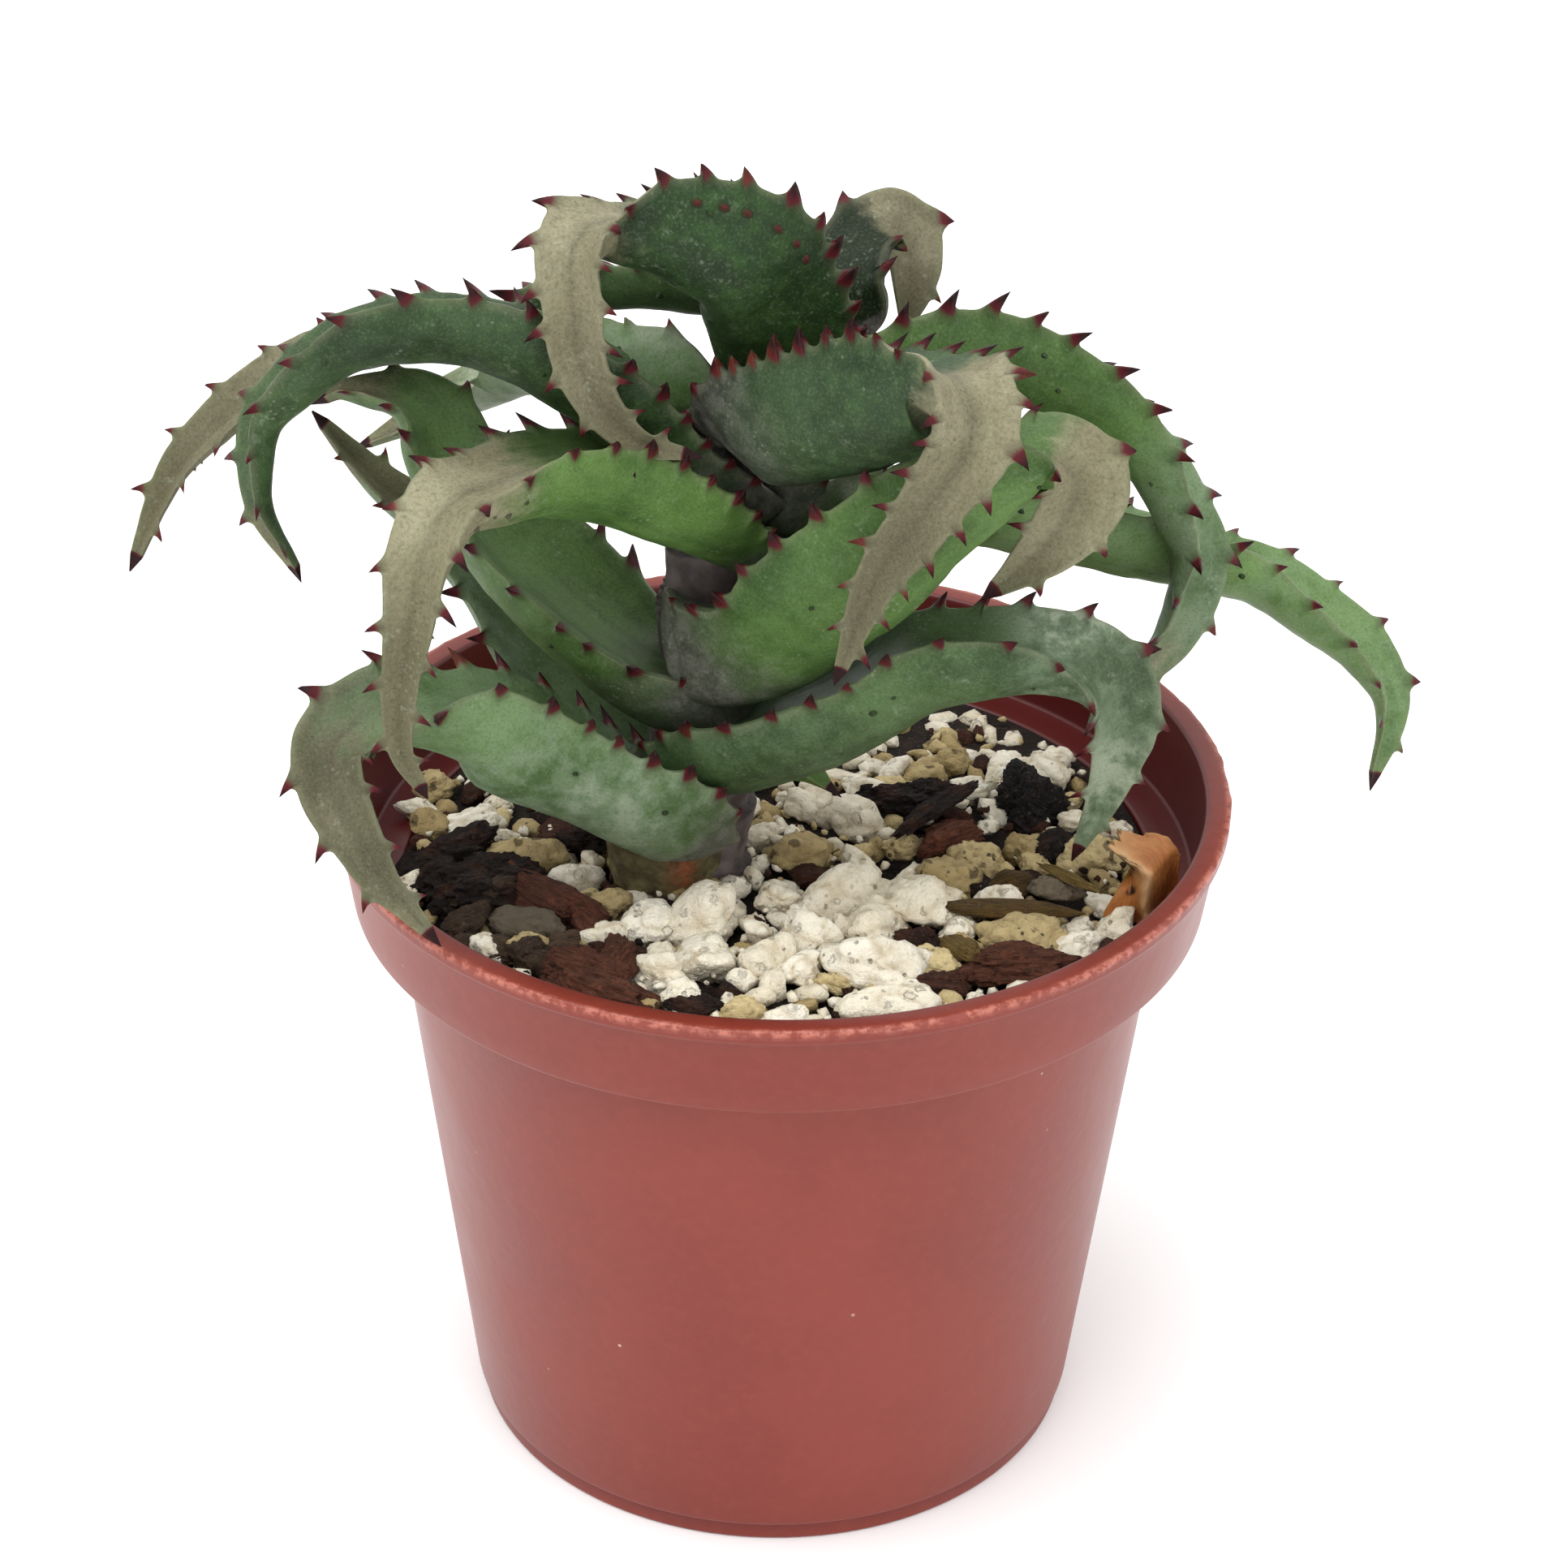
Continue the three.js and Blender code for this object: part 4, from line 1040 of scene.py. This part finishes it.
def build_old_base():
    """The stub of a lost leaf at the foot: a thin cuff round the front of the stem with a ragged top."""
    turn = np.linspace(*STUB_TURNS, STUB_STEPS[0])[None, :]
    lift = np.linspace(0, 1, STUB_STEPS[1])[:, None]
    ragged = 1 + 0.07 * np.sin(turn * 9 + 1) + 0.05 * np.sin(turn * 23)
    notch = 1 - 0.35 * bell(turn, -1.45, 0.12)
    height = STUB_FOOT + lift * STUB_HEIGHT * ragged * notch * (1 - 0.25 * ((turn + 1.5) / 1.5) ** 2)
    lean = STUB_RADIUS + 0.9 * lift + 0.35 * np.sin(turn * 2)
    x, y = STUB_MIDDLE
    shells = []
    for offset in (0, -STUB_WALL):
        radius = lean + offset * (1 - 0.4 * lift)
        shells.append(np.stack([x + radius * np.cos(turn), y + radius * 1.12 * np.sin(turn), height], -1))
    loop = np.concatenate([shells[0], shells[1][:, ::-1]], 1)
    points, faces = capped(loop + 0.1 * ripples(loop, 3, 33)[..., None])
    angle = np.arctan2(points[:, 1] - y, points[:, 0] - x)
    streak = bell(angle, -1.35, 0.2) * ramp(points[:, 2], 59, 64)
    layers = {"seam": ramp(points[:, 2], 65.5, 68), "streak": streak}
    finish_piece("old_leaf_base", points, faces, stub_paint(), (), layers)


def ball(level):
    """The points and triangles of a ball of radius 1: twenty at level 1, four times as many at each next."""
    shape = bmesh.new()
    bmesh.ops.create_icosphere(shape, subdivisions=level, radius=1)
    points = np.array([v.co[:] for v in shape.verts])
    faces = np.array([[v.index for v in f.verts] for f in shape.faces])
    shape.free()
    return points, faces


def stone_shape(directions, draw, sharpness, lumps, knobs, fibre, crumble):
    """A stone as points and how deep each lies in a crease: soft flats, then knobs, lumps,
    threads and crumbs."""
    flats = unit(draw.normal(size=(STONE_FLATS, 3)))
    depth = draw.uniform(0.72, 1.1, STONE_FLATS)
    facing = np.clip(directions @ flats.T, 0, None) / depth
    radius = np.clip((facing**sharpness).sum(-1) ** (-1 / sharpness), 0.5, 1.3)
    seed = int(draw.integers(1 << 30))
    crease = np.exp(-np.abs(ripples(directions, 1.3, seed)) / 0.16)
    rough = sum_ripples(directions, ((1, 1.5, seed + 1), (0.5, 0.6, seed + 2), (0.3, 0.28, seed + 3)))
    threads = ripples(directions * (0.22, 1, 1), 0.32, seed + 4)
    threads = threads + 0.6 * ripples(directions * (0.3, 1, 1), 0.16, seed + 5)
    crumbs = sum(ripples(directions, wave, seed + 6 + k, 14) for k, wave in enumerate(CRUMB_WAVELENGTHS))
    drawn_out = fibre * threads * (0.4 + np.abs(directions[:, 0]))
    radius = radius * (1 + lumps * rough - knobs * crease + drawn_out) * (1 + crumble * crumbs)
    hollow = np.clip(np.maximum(crease * knobs * 5, -2 * fibre * threads) - 3 * crumble * crumbs, 0, 1)
    return directions * radius[:, None], hollow


def heap(name, stones, level, material, form, stands_for=()):
    """Many stones as one piece. A stone is its middle, its three sizes, its turns, and its shade; form is
    the sharpness, lumps, knobs, threads and crumbs of its surface."""
    directions, faces = ball(level)
    points = []
    layers = {"shade": [], "along": [], "across": [], "hollow": []}
    for number, (middle, size, turns, shade) in enumerate(stones):
        draw = np.random.default_rng(len(name) * 1000 + number)
        shape, hollow = stone_shape(directions, draw, *form)
        shape = shape * np.array(size) / 2
        turn = Matrix.Identity(3)
        for angle, axis in zip(turns[::-1], "ZYX"):
            turn = turn @ Matrix.Rotation(angle, 3, axis)
        points.append(shape @ np.array(turn).T + np.array(middle))
        layers["shade"].append(np.full(len(directions), shade))
        layers["along"].append(shape[:, 0] + STONE_STRIDE * number)
        layers["across"].append(shape[:, 1] + shape[:, 2])
        layers["hollow"].append(hollow)
    layers = {key: np.concatenate(values) for key, values in layers.items()}
    joined = np.vstack([faces + number * len(directions) for number in range(len(stones))])
    finish_piece(name, np.vstack(points), [joined], material, stands_for, layers)


def laid_litter(rows, draw):
    """Litter pieces from their rows, each with a small tilt and a shade of its own."""
    pieces = []
    for x, y, z, length, wide, high, turn in rows:
        turns = (draw.uniform(-0.15, 0.15), draw.uniform(-0.12, 0.12), math.radians(turn))
        pieces.append(((x, y, z), (length, wide, high), turns, draw.uniform(0.2, 0.8)))
    return pieces


def placed_stones(rows, draw, flatness):
    """Stones set one by one, each lying on the filling with its widths drawn from its length."""
    stones = []
    for x, y, length, turn in rows:
        wide = length * draw.uniform(0.62, 0.85)
        high = length * draw.uniform(*flatness)
        level = fill_level(x, y) + STONE_LIFT * draw.uniform(0.7, 1.3)
        turns = (draw.uniform(-0.3, 0.3), draw.uniform(-0.25, 0.25), math.radians(turn))
        sizes = (length * STONE_SWELL, wide * STONE_SWELL, high)
        stones.append(((x, y, level), sizes, turns, draw.random()))
    return stones


def drift_shares(x, y):
    """The shares of white, tan and dark grains at a place: a mean of the drifts, weighted by nearness."""
    total = np.zeros(3)
    for (cx, cy), reach, shares in DRIFTS:
        total += np.exp(-((x - cx) ** 2 + (y - cy) ** 2) / reach**2) * np.array(shares)
    return total / total.sum()


def scattered(count, sizes, spacing, laid, draw):
    """Seeded grains thrown over the filling, sorted by kind. Those that fall too close to one another or to
    the stones laid there already are left out."""
    kinds = [[], [], []]
    taken = np.array(laid)
    reach = FRONT_RADIUS - 1.5
    for _ in range(count * TRIES_PER_GRAIN):
        if len(taken) >= count + len(laid):
            break
        x, y = draw.uniform(-reach, reach, 2)
        size = draw.uniform(*sizes)
        limit = np.interp(y, FRONT_TO_BACK, [FRONT_RADIUS - 1.2, LEDGE_RADIUS - 0.6]) - size / 2
        gaps = np.hypot(taken[:, 0] - x, taken[:, 1] - y) - spacing * (taken[:, 2] + size) / 2
        if math.hypot(x, y) > limit or gaps.min() < 0:
            continue
        taken = np.vstack([taken, (x, y, size)])
        kind = draw.choice(3, p=drift_shares(x, y))
        widths = size * draw.uniform((1.0, 0.75, 0.6), (1.3, 0.95, 0.85))
        level = fill_level(x, y) + GRAIN_LIFT * draw.uniform(0.2, 1.2) - 0.25 * size
        turns = draw.uniform((-0.6, -0.6, 0), (0.6, 0.6, TURN))
        kinds[kind].append(((x, y, level), widths, turns, draw.random()))
    return kinds


def build_bed():
    """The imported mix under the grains: a rough top over a turned body that fills the pot to its floor."""
    angle, ring = circle(BED_SIDES)
    lowest = FLOOR_THICKNESS + 0.3
    ledge = POT_HEIGHT - COLLAR_HEIGHT + WALL
    inner_foot = BODY_BOTTOM_RADIUS - WALL - 0.4
    back = ramp(np.sin(angle) * FRONT_RADIUS, *FRONT_TO_BACK)
    reach = FRONT_RADIUS + (LEDGE_RADIUS - FRONT_RADIUS) * back
    share = np.linspace(0.01, 1, BED_RINGS)[::-1, None]
    x = share * reach * np.cos(angle)
    y = share * reach * np.sin(angle)
    rough = sum_ripples(np.stack([x, y, 0 * x], -1), BED_WAVES)
    top = np.stack([x, y, np.maximum(fill_level(x, y) - BED_DROP + rough, ledge + 0.15)], -1)
    wall = [
        ring * inner_foot * 0.02 + UP * lowest, ring * inner_foot + UP * lowest,
        ring * LEDGE_RADIUS + UP * (ledge - 1), ring * reach[:, None] + UP * (ledge + 0.1),
    ]
    points, faces = capped(np.concatenate([np.array(wall), top]))
    layers = {"shade": 0.3, "along": points[:, 0], "across": points[:, 1], "hollow": 0}
    soil = bark_paint("compost", "120d0b", "3a2c22", 0.3)
    finish_piece("soil_bed", points, faces, soil, ["soil"], layers)


def build_stones():
    """Listed stones on top, gravel between them, and crumbs in the gaps."""
    draw = np.random.default_rng(STONE_SEED)
    white = stone_paint("pumice_white", "e9dfc8", "faf3e2", "b8a582", 0.5)
    tan = stone_paint("pumice_tan", "a58f62", "d9c594", "75603c", 1)
    bark = bark_paint("bark", "150e0b", "6a3c29")
    for name, rows, flatness, level, material, slot, form in (
        ("white_pumice", WHITE_STONES, (0.6, 0.8), STONE_DETAIL, white, "soil_mix", KNOBBLY),
        ("tan_pumice", TAN_STONES, (0.6, 0.8), STONE_DETAIL, tan, "soil_mix", BLOCKY),
        ("bark_pieces", BARK_PIECES, (0.35, 0.55), BARK_DETAIL, bark, "bark", STRINGY),
    ):
        heap(name, placed_stones(rows, draw, flatness), level, material, form)
    laid = [row[:3] for row in WHITE_STONES + TAN_STONES + BARK_PIECES]
    laid = np.array(laid + [(row[0], row[1], 0.7 * row[3]) for rows in LITTER.values() for row in rows])
    gravel = scattered(GRAVEL_COUNT, GRAVEL_SIZES, GRAVEL_SPACING, laid * (1, 1, 0.9), draw)
    crumbs = scattered(CRUMB_COUNT, CRUMB_SIZES, CRUMB_SPACING, laid * (1, 1, 0.6), draw)
    kinds = (("white", white, KNOBBLY), ("tan", tan, BLOCKY), ("dark", bark, STRINGY))
    for (kind, material, form), small, tiny in zip(kinds, gravel, crumbs):
        heap(kind + "_gravel", small, GRAVEL_DETAIL, material, form)
        heap(kind + "_crumbs", tiny, CRUMB_DETAIL, material, form)


def build_litter():
    """The listed litter, then the bark chips, the charcoal and the dead leaf, each at its own solid."""
    draw = np.random.default_rng(LITTER_SEED)
    paints = {
        "black_bark": (bark_paint("black_bark", "0d0908", "3a2820"), STRINGY),
        "red_bark": (bark_paint("red_bark", "2a160f", "9a5a40"), STRINGY),
        "compost_lumps": (bark_paint("crumbly_compost", "1c130e", "6d533d", 0.4), CRUMBLY),
        "grey_pebbles": (stone_paint("grey_pebble", "4a4035", "7d715e", "32281f", 0.7), CRUMBLY),
        "olive_flakes": (bark_paint("olive_flake", "241809", "75581f", 0.5), FLAKY),
        "straw_pieces": (bark_paint("straw", "4a3814", "bb9c56"), SPLINTERY),
        "charcoal": (bark_paint("charcoal", "080707", "2f292a", 0.15), SHARP),
    }
    for kind, rows in LITTER.items():
        material, form = paints[kind]
        level = BARK_DETAIL if kind.endswith("_bark") else STONE_DETAIL
        heap(kind, laid_litter(rows, draw), level, material, form)
    for name, kind, slot, stretch, turn, shade in (
        ("bark_chip_left", "black_bark", "bark", (1.04, 0.85, 1.1), 0.5, 0.5),
        ("bark_chip_front_left", "red_bark", "bark", (1.04, 0.85, 1.1), -0.35, 0.5),
        ("bark_chip_back", "black_bark", "bark", (1.04, 0.85, 1.1), 0.4, 0.3),
        ("charcoal_lump", "charcoal", "charcoal", (1.05, 1.05, 1.05), 0.2, 0.4),
    ):
        low, high = (np.array(corner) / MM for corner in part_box(name))
        chip = ((low + high) / 2, (high - low) * stretch, (0.1, 0.15, turn), shade)
        material, form = paints[kind]
        heap("fine_" + name, [chip], CHIP_DETAIL, material, form, [name])
    build_dry_leaf()


def build_dry_leaf():
    """A curled dead leaf: a thin sheet with a low flap on its left and a tall part on its right that folds
    forward along an upright ridge and nods over to the left at its top."""
    share = np.linspace(0, 1, SHEET_STEPS[0])[None, :]
    lift = np.linspace(0, 1, SHEET_STEPS[1])[:, None]
    torn = 1 + 0.05 * np.sin(share * 37) + 0.03 * np.sin(share * 83)
    height = lift * (np.interp(share, SHEET_SHARES, SHEET_TOPS) * torn)
    nod = ramp(height, *NOD_HEIGHTS)
    x, y, z = SHEET_PLACE
    sheet = np.stack([
        x + SHEET_WIDTH * share - 4.6 * nod * (1.2 - 0.5 * share),
        y + 3.6 * ramp(share, 0.55, 1) - 1.1 * bell(share, SHEET_RIDGE, 0.1) + 1.4 * nod,
        z + height - 1.6 * nod**2 * (1.15 - share),
    ], -1)
    sheet = sheet + sum_ripples(sheet, SHEET_WAVES)[..., None]
    away = SHEET_HALF_THICKNESS * unit(np.cross(np.gradient(sheet, axis=1), np.gradient(sheet, axis=0)))
    points, faces = capped(np.concatenate([sheet + away, (sheet - away)[:, ::-1]], 1))
    ridge = bell(share, SHEET_RIDGE, 0.06) + 0.6 * nod
    # painted shadow on the top of the flap, under the nodding top
    scorch = bell(share, 0.3, 0.1) * ramp(height, 2.2, 4)
    layers = {"along": height, "across": 9 * share + 0 * height, "ridge": ridge, "scorch": scorch}
    layers = {
        key: np.append(np.concatenate([value, value[:, ::-1]], 1), [0, 0]) for key, value in layers.items()
    }
    finish_piece("fine_dry_leaf", points, faces, dry_leaf_paint(), ["dry_leaf"], layers)


LEAVES = [
    Leaf(
        "leaf_low_front_left", LEFT,
        [(10, 8.5), (12.5, 8.8), (12.5, 9.6), (8, 5), (5.4, 3), (1.2, 0.9)],
        [(-5, -9, 69.8), (-6.4, -10.3, 73), (-9, -12, 76), (-13, -13.5, 79), (-18.5, -15, 83.5),
         (-23, -17, 87), (-27, -19, 89), (-31.5, -21, 89.2), (-36, -23, 88.4), (-39.3, -26, 86.4),
         (-39, -28.5, 83.6), (-37.6, -30, 81), (-36.2, -31.5, 79), (-34.5, -32.5, 76.3),
         (-32.5, -32.5, 73.8), (-30.5, -33, 71.5)],
        [4, 4, 4, 5, 8, 16, 60, 80, 88, 90, 90],
        bloom=0.75, tone=0.6, dry=(0.45, 1), pale=0, clasp=0.12,
    ),
    Leaf(
        "leaf_low_right", RIGHT,
        [(9, 6.5), (12, 7.5), (12.5, 7.5), (9.5, 6), (6, 3), (1.2, 0.9)],
        [(-12, -7, 76), (-8.5, -9, 79), (-2.5, -12, 82.5), (5, -13, 87), (11, -14, 91.5), (17.5, -15, 93.2),
         (23, -15, 92.5), (27.3, -15, 90.3), (30.3, -14.5, 87), (31.2, -14, 83), (30.5, -13.5, 78.5),
         (29.5, -13, 74), (27.5, -12.5, 68.5)],
        [4, 8, 12, 15, 16, 18, 30, 60, 72, 80, 85],
        bloom=0.22, tone=0.2, dry=(0.7, 2), pale=1, clasp=0.07, frost=1,
    ),
    Leaf(
        "leaf_low_back_left", LEFT,
        [(10, 6), (12, 6.5), (12, 6), (7, 4), (4, 3), (1.2, 0.9)],
        [(-7, -0.5, 70.5), (-11.5, 0, 73), (-16, 1, 77), (-20.5, 3, 80.5), (-24.5, 5, 84.5), (-28, 7, 87),
         (-31.5, 8.5, 89.5), (-34.5, 10, 91.5), (-37.5, 11, 93.5), (-40.5, 12, 96), (-43, 12.5, 98.5)],
        [75, 72, 70, 65, 60, 60],
        bloom=0.6, tone=0.4, dry=(0.75, 0.95), pale=0.2, clasp=0.12,
    ),
    Leaf(
        "leaf_mid_back_left", LEFT,
        [(10.5, 7), (13.5, 7), (13, 7), (11, 5.5), (8, 3.5), (1.2, 0.9)],
        [(-4.5, -5, 81.5), (-7, -6.5, 83.5), (-9.5, -6.5, 84.8), (-12, -6, 86), (-15.5, -4.5, 88.5),
         (-19.5, -3.5, 92), (-23, -2, 94.5), (-26.5, 0, 98), (-30, 3, 101), (-31.5, 5, 103.5),
         (-34, 6.5, 105), (-37.5, 7.5, 105), (-41, 8, 104.5), (-42.5, 8, 103.5)],
        [5, 30, 42, 48, 40, 25],
        bloom=0.12, tone=0.5, dry=(0.8, 1.1), pale=0.3, clasp=0.22,
    ),
    Leaf(
        "leaf_mid_front_left", LEFT,
        [(9, 5.5), (13, 7.5), (12.5, 6.5), (7, 4), (3.8, 2.6), (1.2, 0.9)],
        [(-1, -5, 97), (-4, -7, 101), (-7.5, -9, 104.5), (-12, -11.5, 108), (-16.5, -14.5, 110.5),
         (-21, -18.5, 112), (-25, -23, 112), (-28.3, -27, 111.4), (-30.5, -30.5, 107.4), (-31.5, -32, 101),
         (-32.5, -32, 94), (-32.5, -31.5, 89), (-31, -30, 84.5)],
        [10, 9, 8, 10, 20, 36, 62, 78, 86, 90, 90],
        bloom=0.08, tone=0.75, dry=(0.36, 0.62), pale=0.95, clasp=0.06,
    ),
    Leaf(
        "leaf_upper_left", LEFT,
        [(9, 6), (12, 7), (12, 6.3), (9, 5), (5.5, 3), (1.2, 0.9)],
        [(-1, -5.5, 101.5), (-4, -6.5, 104.5), (-6.5, -7, 107), (-9, -7.5, 110.2), (-12.5, -8.5, 114),
         (-16.5, -10, 117.5), (-21, -11, 120.5), (-26.5, -12, 122.5), (-32, -13, 123), (-36.5, -13.5, 122),
         (-40.5, -14, 119.5), (-44, -14, 116), (-46.5, -14, 112), (-47, -14, 107.5), (-46.5, -13.5, 102.5),
         (-43.5, -12, 96)],
        [11, 10, 8, 12, 22, 25],
        bloom=0.1, tone=0.08, dry=(0.85, 1.15), pale=0.4, clasp=0.15,
    ),
    Leaf(
        "leaf_upper_back_left", LEFT,
        [(8, 3.5), (9.5, 3.6), (9, 3.6), (6.5, 3.3), (4.5, 2.5), (1.2, 0.9)],
        [(2, 0, 117.5), (-3, 2, 118), (-8.5, 4, 118), (-15.5, 6, 117.4), (-21, 7, 116), (-27, 8, 112.5),
         (-33.5, 9, 110.5), (-38.5, 10, 109), (-43.5, 11, 107), (-48.5, 11.5, 103.5), (-53, 11, 99.5),
         (-57, 10.5, 95), (-59, 10, 91), (-61, 9, 86)],
        [5, 5, 10, 30, 60, 70],
        bloom=0.15, tone=0.3, dry=(0.5, 0.75), pale=0.5, clasp=0.1,
    ),
    Leaf(
        "leaf_far_back_left", LEFT,
        [(10, 7), (11, 6.5), (11, 5.5), (9.5, 4.5), (7, 3), (1.2, 0.9)],
        [(-5.5, -4, 109), (-6.5, -3, 111), (-8.5, -1, 112.3), (-12, 2.5, 111.8), (-15, 7, 110),
         (-21, 14, 106.5), (-25, 18, 104), (-29, 22, 99.5), (-33.5, 24, 96), (-37.5, 25, 92.5),
         (-40.5, 25, 90.5)],
        [0, -5, 0, 15, 30, 40],
        bloom=0.9, tone=0.9, dry=(0.6, 1.2), pale=0.7, clasp=0.02, thorns=0.55,
    ),
    Leaf(
        "leaf_crown_left", LEFT,
        [(11, 11), (14.5, 11), (13.5, 9), (6.5, 4), (4.5, 2.6), (1.2, 0.9)],
        [(5, -2.5, 113), (4, -4, 118.5), (2.5, -5, 123), (-0.5, -6, 127.5), (-4.5, -8, 130.5),
         (-9.5, -10, 132), (-13.5, -12, 132.2), (-17, -14.5, 131.7), (-18, -16.5, 130.7), (-18.5, -18, 129),
         (-18, -19, 125), (-17.5, -19, 120), (-15.5, -19, 115.5), (-12.5, -19, 112.5), (-8.5, -18, 111)],
        [-10, -6, -3, 0, 0, 10, 62, 80, 85, 85, 85],
        bloom=0, tone=0, dry=(0.4, 0.7), pale=0.9, clasp=0.05, pitch=2.9,
        dots=(0.27, 0.3, 0.33, 0.37, 0.4, 0.44),
    ),
    Leaf(
        "leaf_crown_right", RIGHT,
        [(7, 3.5), (8, 3.5), (7.5, 3), (7, 2.6), (4.8, 2), (1.2, 0.9)],
        [(6.5, 2, 114), (5, 3, 117), (5.2, 5, 119.5), (7, 8, 121.2), (9.5, 9.5, 121.5), (11.2, 9.5, 120),
         (11.6, 8.5, 117.5), (11.4, 7.5, 115), (10.8, 6.5, 112)],
        [60, 60, 50, 50, 70, 80],
        bloom=0, tone=-1, dry=(0.45, 0.7), pale=0.5, clasp=0.01, thorns=0.75,
    ),
    Leaf(
        "leaf_upper_right", RIGHT,
        [(9, 6), (12, 7), (11.5, 6.5), (9, 5), (7, 3.5), (2, 1)],
        [(0.5, -1, 110), (6, 0, 112.5), (11.5, 2, 114), (17, 4, 114), (22, 5, 112.5), (27, 5, 110),
         (32, 5, 106), (35.5, 4.5, 101.5), (38, 4, 96), (39.5, 3.5, 91), (38.5, 3, 85.5), (36, 2, 81),
         (31.5, 0, 78.5)],
        [0, 0, 3, 10, 35, 50],
        bloom=0.08, tone=0.55, dry=(0.75, 1.3), pale=1, clasp=0.1, frost=0.7,
    ),
    Leaf(
        "leaf_mid_back_right", RIGHT,
        [(9, 5), (12, 6), (12, 6.5), (10.5, 5.5), (8, 4), (1.2, 0.9)],
        [(-2, -5.5, 102), (1.5, -4, 101.5), (5.5, -0.5, 100.8), (11.5, 3.5, 99), (21.5, 8, 95.5),
         (32, 11, 91.5), (41.5, 13, 87.5), (46.5, 13, 85.5), (52, 12, 81.5), (56.5, 11, 77.5), (59, 10, 73),
         (59, 9, 69.5), (57.5, 8, 64.5)],
        [10, 8, 9, 9, 30, 50],
        bloom=0.45, tone=0.95, dry=(0.9, 1.3), pale=0.5, clasp=0.1,
    ),
    Leaf(
        "leaf_upper_front_right", RIGHT,
        [(9, 8.5), (13, 10.5), (12.5, 9.5), (7.3, 4), (4.6, 2.8), (1.2, 0.9)],
        [(-5.5, -6, 109), (-5, -7.5, 112), (-3.5, -9, 114), (-1, -10.5, 115.5), (3.5, -13.5, 118.3),
         (8.5, -17, 121), (12.5, -21, 122.5), (15, -25, 123), (16, -28, 120.5), (15.5, -29, 117.5),
         (12, -29, 111.5), (8, -28, 104.5), (5, -27, 95)],
        [0, 0, 8, 70, 85, 90],
        bloom=0.1, tone=0.05, dry=(0.42, 0.6), pale=0.95, clasp=0.2, pitch=2.9,
    ),
    Leaf(
        "leaf_mid_right", RIGHT,
        [(10, 9.5), (14, 11), (14, 10.5), (10.5, 7.5), (8, 3.5), (1.6, 1)],
        [(-7.4, -6, 90.8), (-5.4, -8.3, 92), (-3.2, -10.6, 94.5), (-0.5, -12.5, 98.5), (5, -15, 104.5),
         (10.5, -16.5, 109.5), (16, -17, 112.3), (20.3, -17, 113), (23.8, -17, 112.2), (26, -18, 110),
         (26, -18.5, 107.5), (24, -18.5, 104), (21, -18, 100.5), (18.5, -17.5, 98)],
        [0, 0, 0, 8, 65, 85],
        bloom=0.1, tone=0.6, dry=(0.72, 0.84), pale=1, clasp=0.16,
    ),
]

# A young shoot low on the right of the stem, which has no solid of its own
SHOOT = Leaf(
    "low_shoot", RIGHT,
    [(4, 3), (4.6, 3), (3.4, 2.4), (1, 0.8)],
    [(-5, -3, 73), (-2, -3.5, 73.5), (0.5, -4, 73.2), (2.8, -4.6, 72), (4.6, -5, 70.3)],
    [10, 20, 40, 60],
    bloom=0, tone=1, dry=(1.5, 2), pale=0, clasp=0.02, thorns=0,
)

# The photograph's camera, fitted to the rim, collar and foot of the pot
CAMERA_PLACE = (0, -343.53, 273.26)
CAMERA_PITCH = 0.5398
CAMERA_YAW = 0.0008
CAMERA_ROLL = 0.0146
CAMERA_LENS = 97.247
SENSOR = 36
CLIP_START = 0.01

# The studio, in metres and watts
FLOOR_REACH = 4.0
SKY_STRENGTH = 1.13
LIGHT_AIM = (0, 0, 0.08)
KEY_LIGHT = {"place": (-0.2, -0.15, 0.85), "size": 0.8, "power": 5.4}
FILL_LIGHT = {"place": (0.5, -0.6, 0.5), "size": 0.6, "power": 1.3}


def build_camera():
    camera = placed("camera", bpy.data.cameras.new("camera"))
    camera.data.lens = CAMERA_LENS
    camera.data.sensor_width = SENSOR
    camera.data.sensor_fit = "AUTO"
    camera.data.clip_start = CLIP_START
    turn = Matrix.Rotation(-CAMERA_YAW, 4, "Z") @ Matrix.Rotation(math.pi / 2 - CAMERA_PITCH, 4, "X")
    turn = turn @ Matrix.Rotation(CAMERA_ROLL, 4, "Z")
    camera.matrix_world = Matrix.Translation(Vector(CAMERA_PLACE) * MM) @ turn
    bpy.context.scene.camera = camera


def soft_light(name, place, size, power):
    light = placed(name, bpy.data.lights.new(name, "AREA"))
    light.data.size = size
    light.data.energy = power
    light.location = place
    light.rotation_euler = (Vector(LIGHT_AIM) - Vector(place)).to_track_quat("-Z", "Y").to_euler()


def build_studio():
    """A plain white floor, an even white sky and two large soft lights from above."""
    floor = bpy.data.meshes.new("floor")
    corners = [(x * FLOOR_REACH, y * FLOOR_REACH, 0) for x, y in ((-1, -1), (1, -1), (1, 1), (-1, 1))]
    floor.from_pydata(corners, [], [(0, 1, 2, 3)])
    paint = Paint("floor")
    floor.materials.append(paint.surface(paint.mix(paint.noise(3), "fbfbfb", "fdfdfd"), 0.9))
    ground = placed("floor", floor)
    world = bpy.data.worlds.new("sky")
    world.use_nodes = True
    sky = world.node_tree.nodes["Background"].inputs
    sky["Color"].default_value = (1, 1, 1, 1)
    sky["Strength"].default_value = SKY_STRENGTH
    bpy.context.scene.world = world
    soft_light("key", **KEY_LIGHT)
    soft_light("fill", **FILL_LIGHT)
    bpy.context.scene.view_settings.view_transform = "Standard"


build_camera()
build_studio()
build_pot()
build_bed()
build_stones()
build_litter()
build_stem()
build_old_base()
skin = leaf_skin()
for number, leaf in enumerate(LEAVES + [SHOOT]):
    build_leaf(leaf, number, skin)
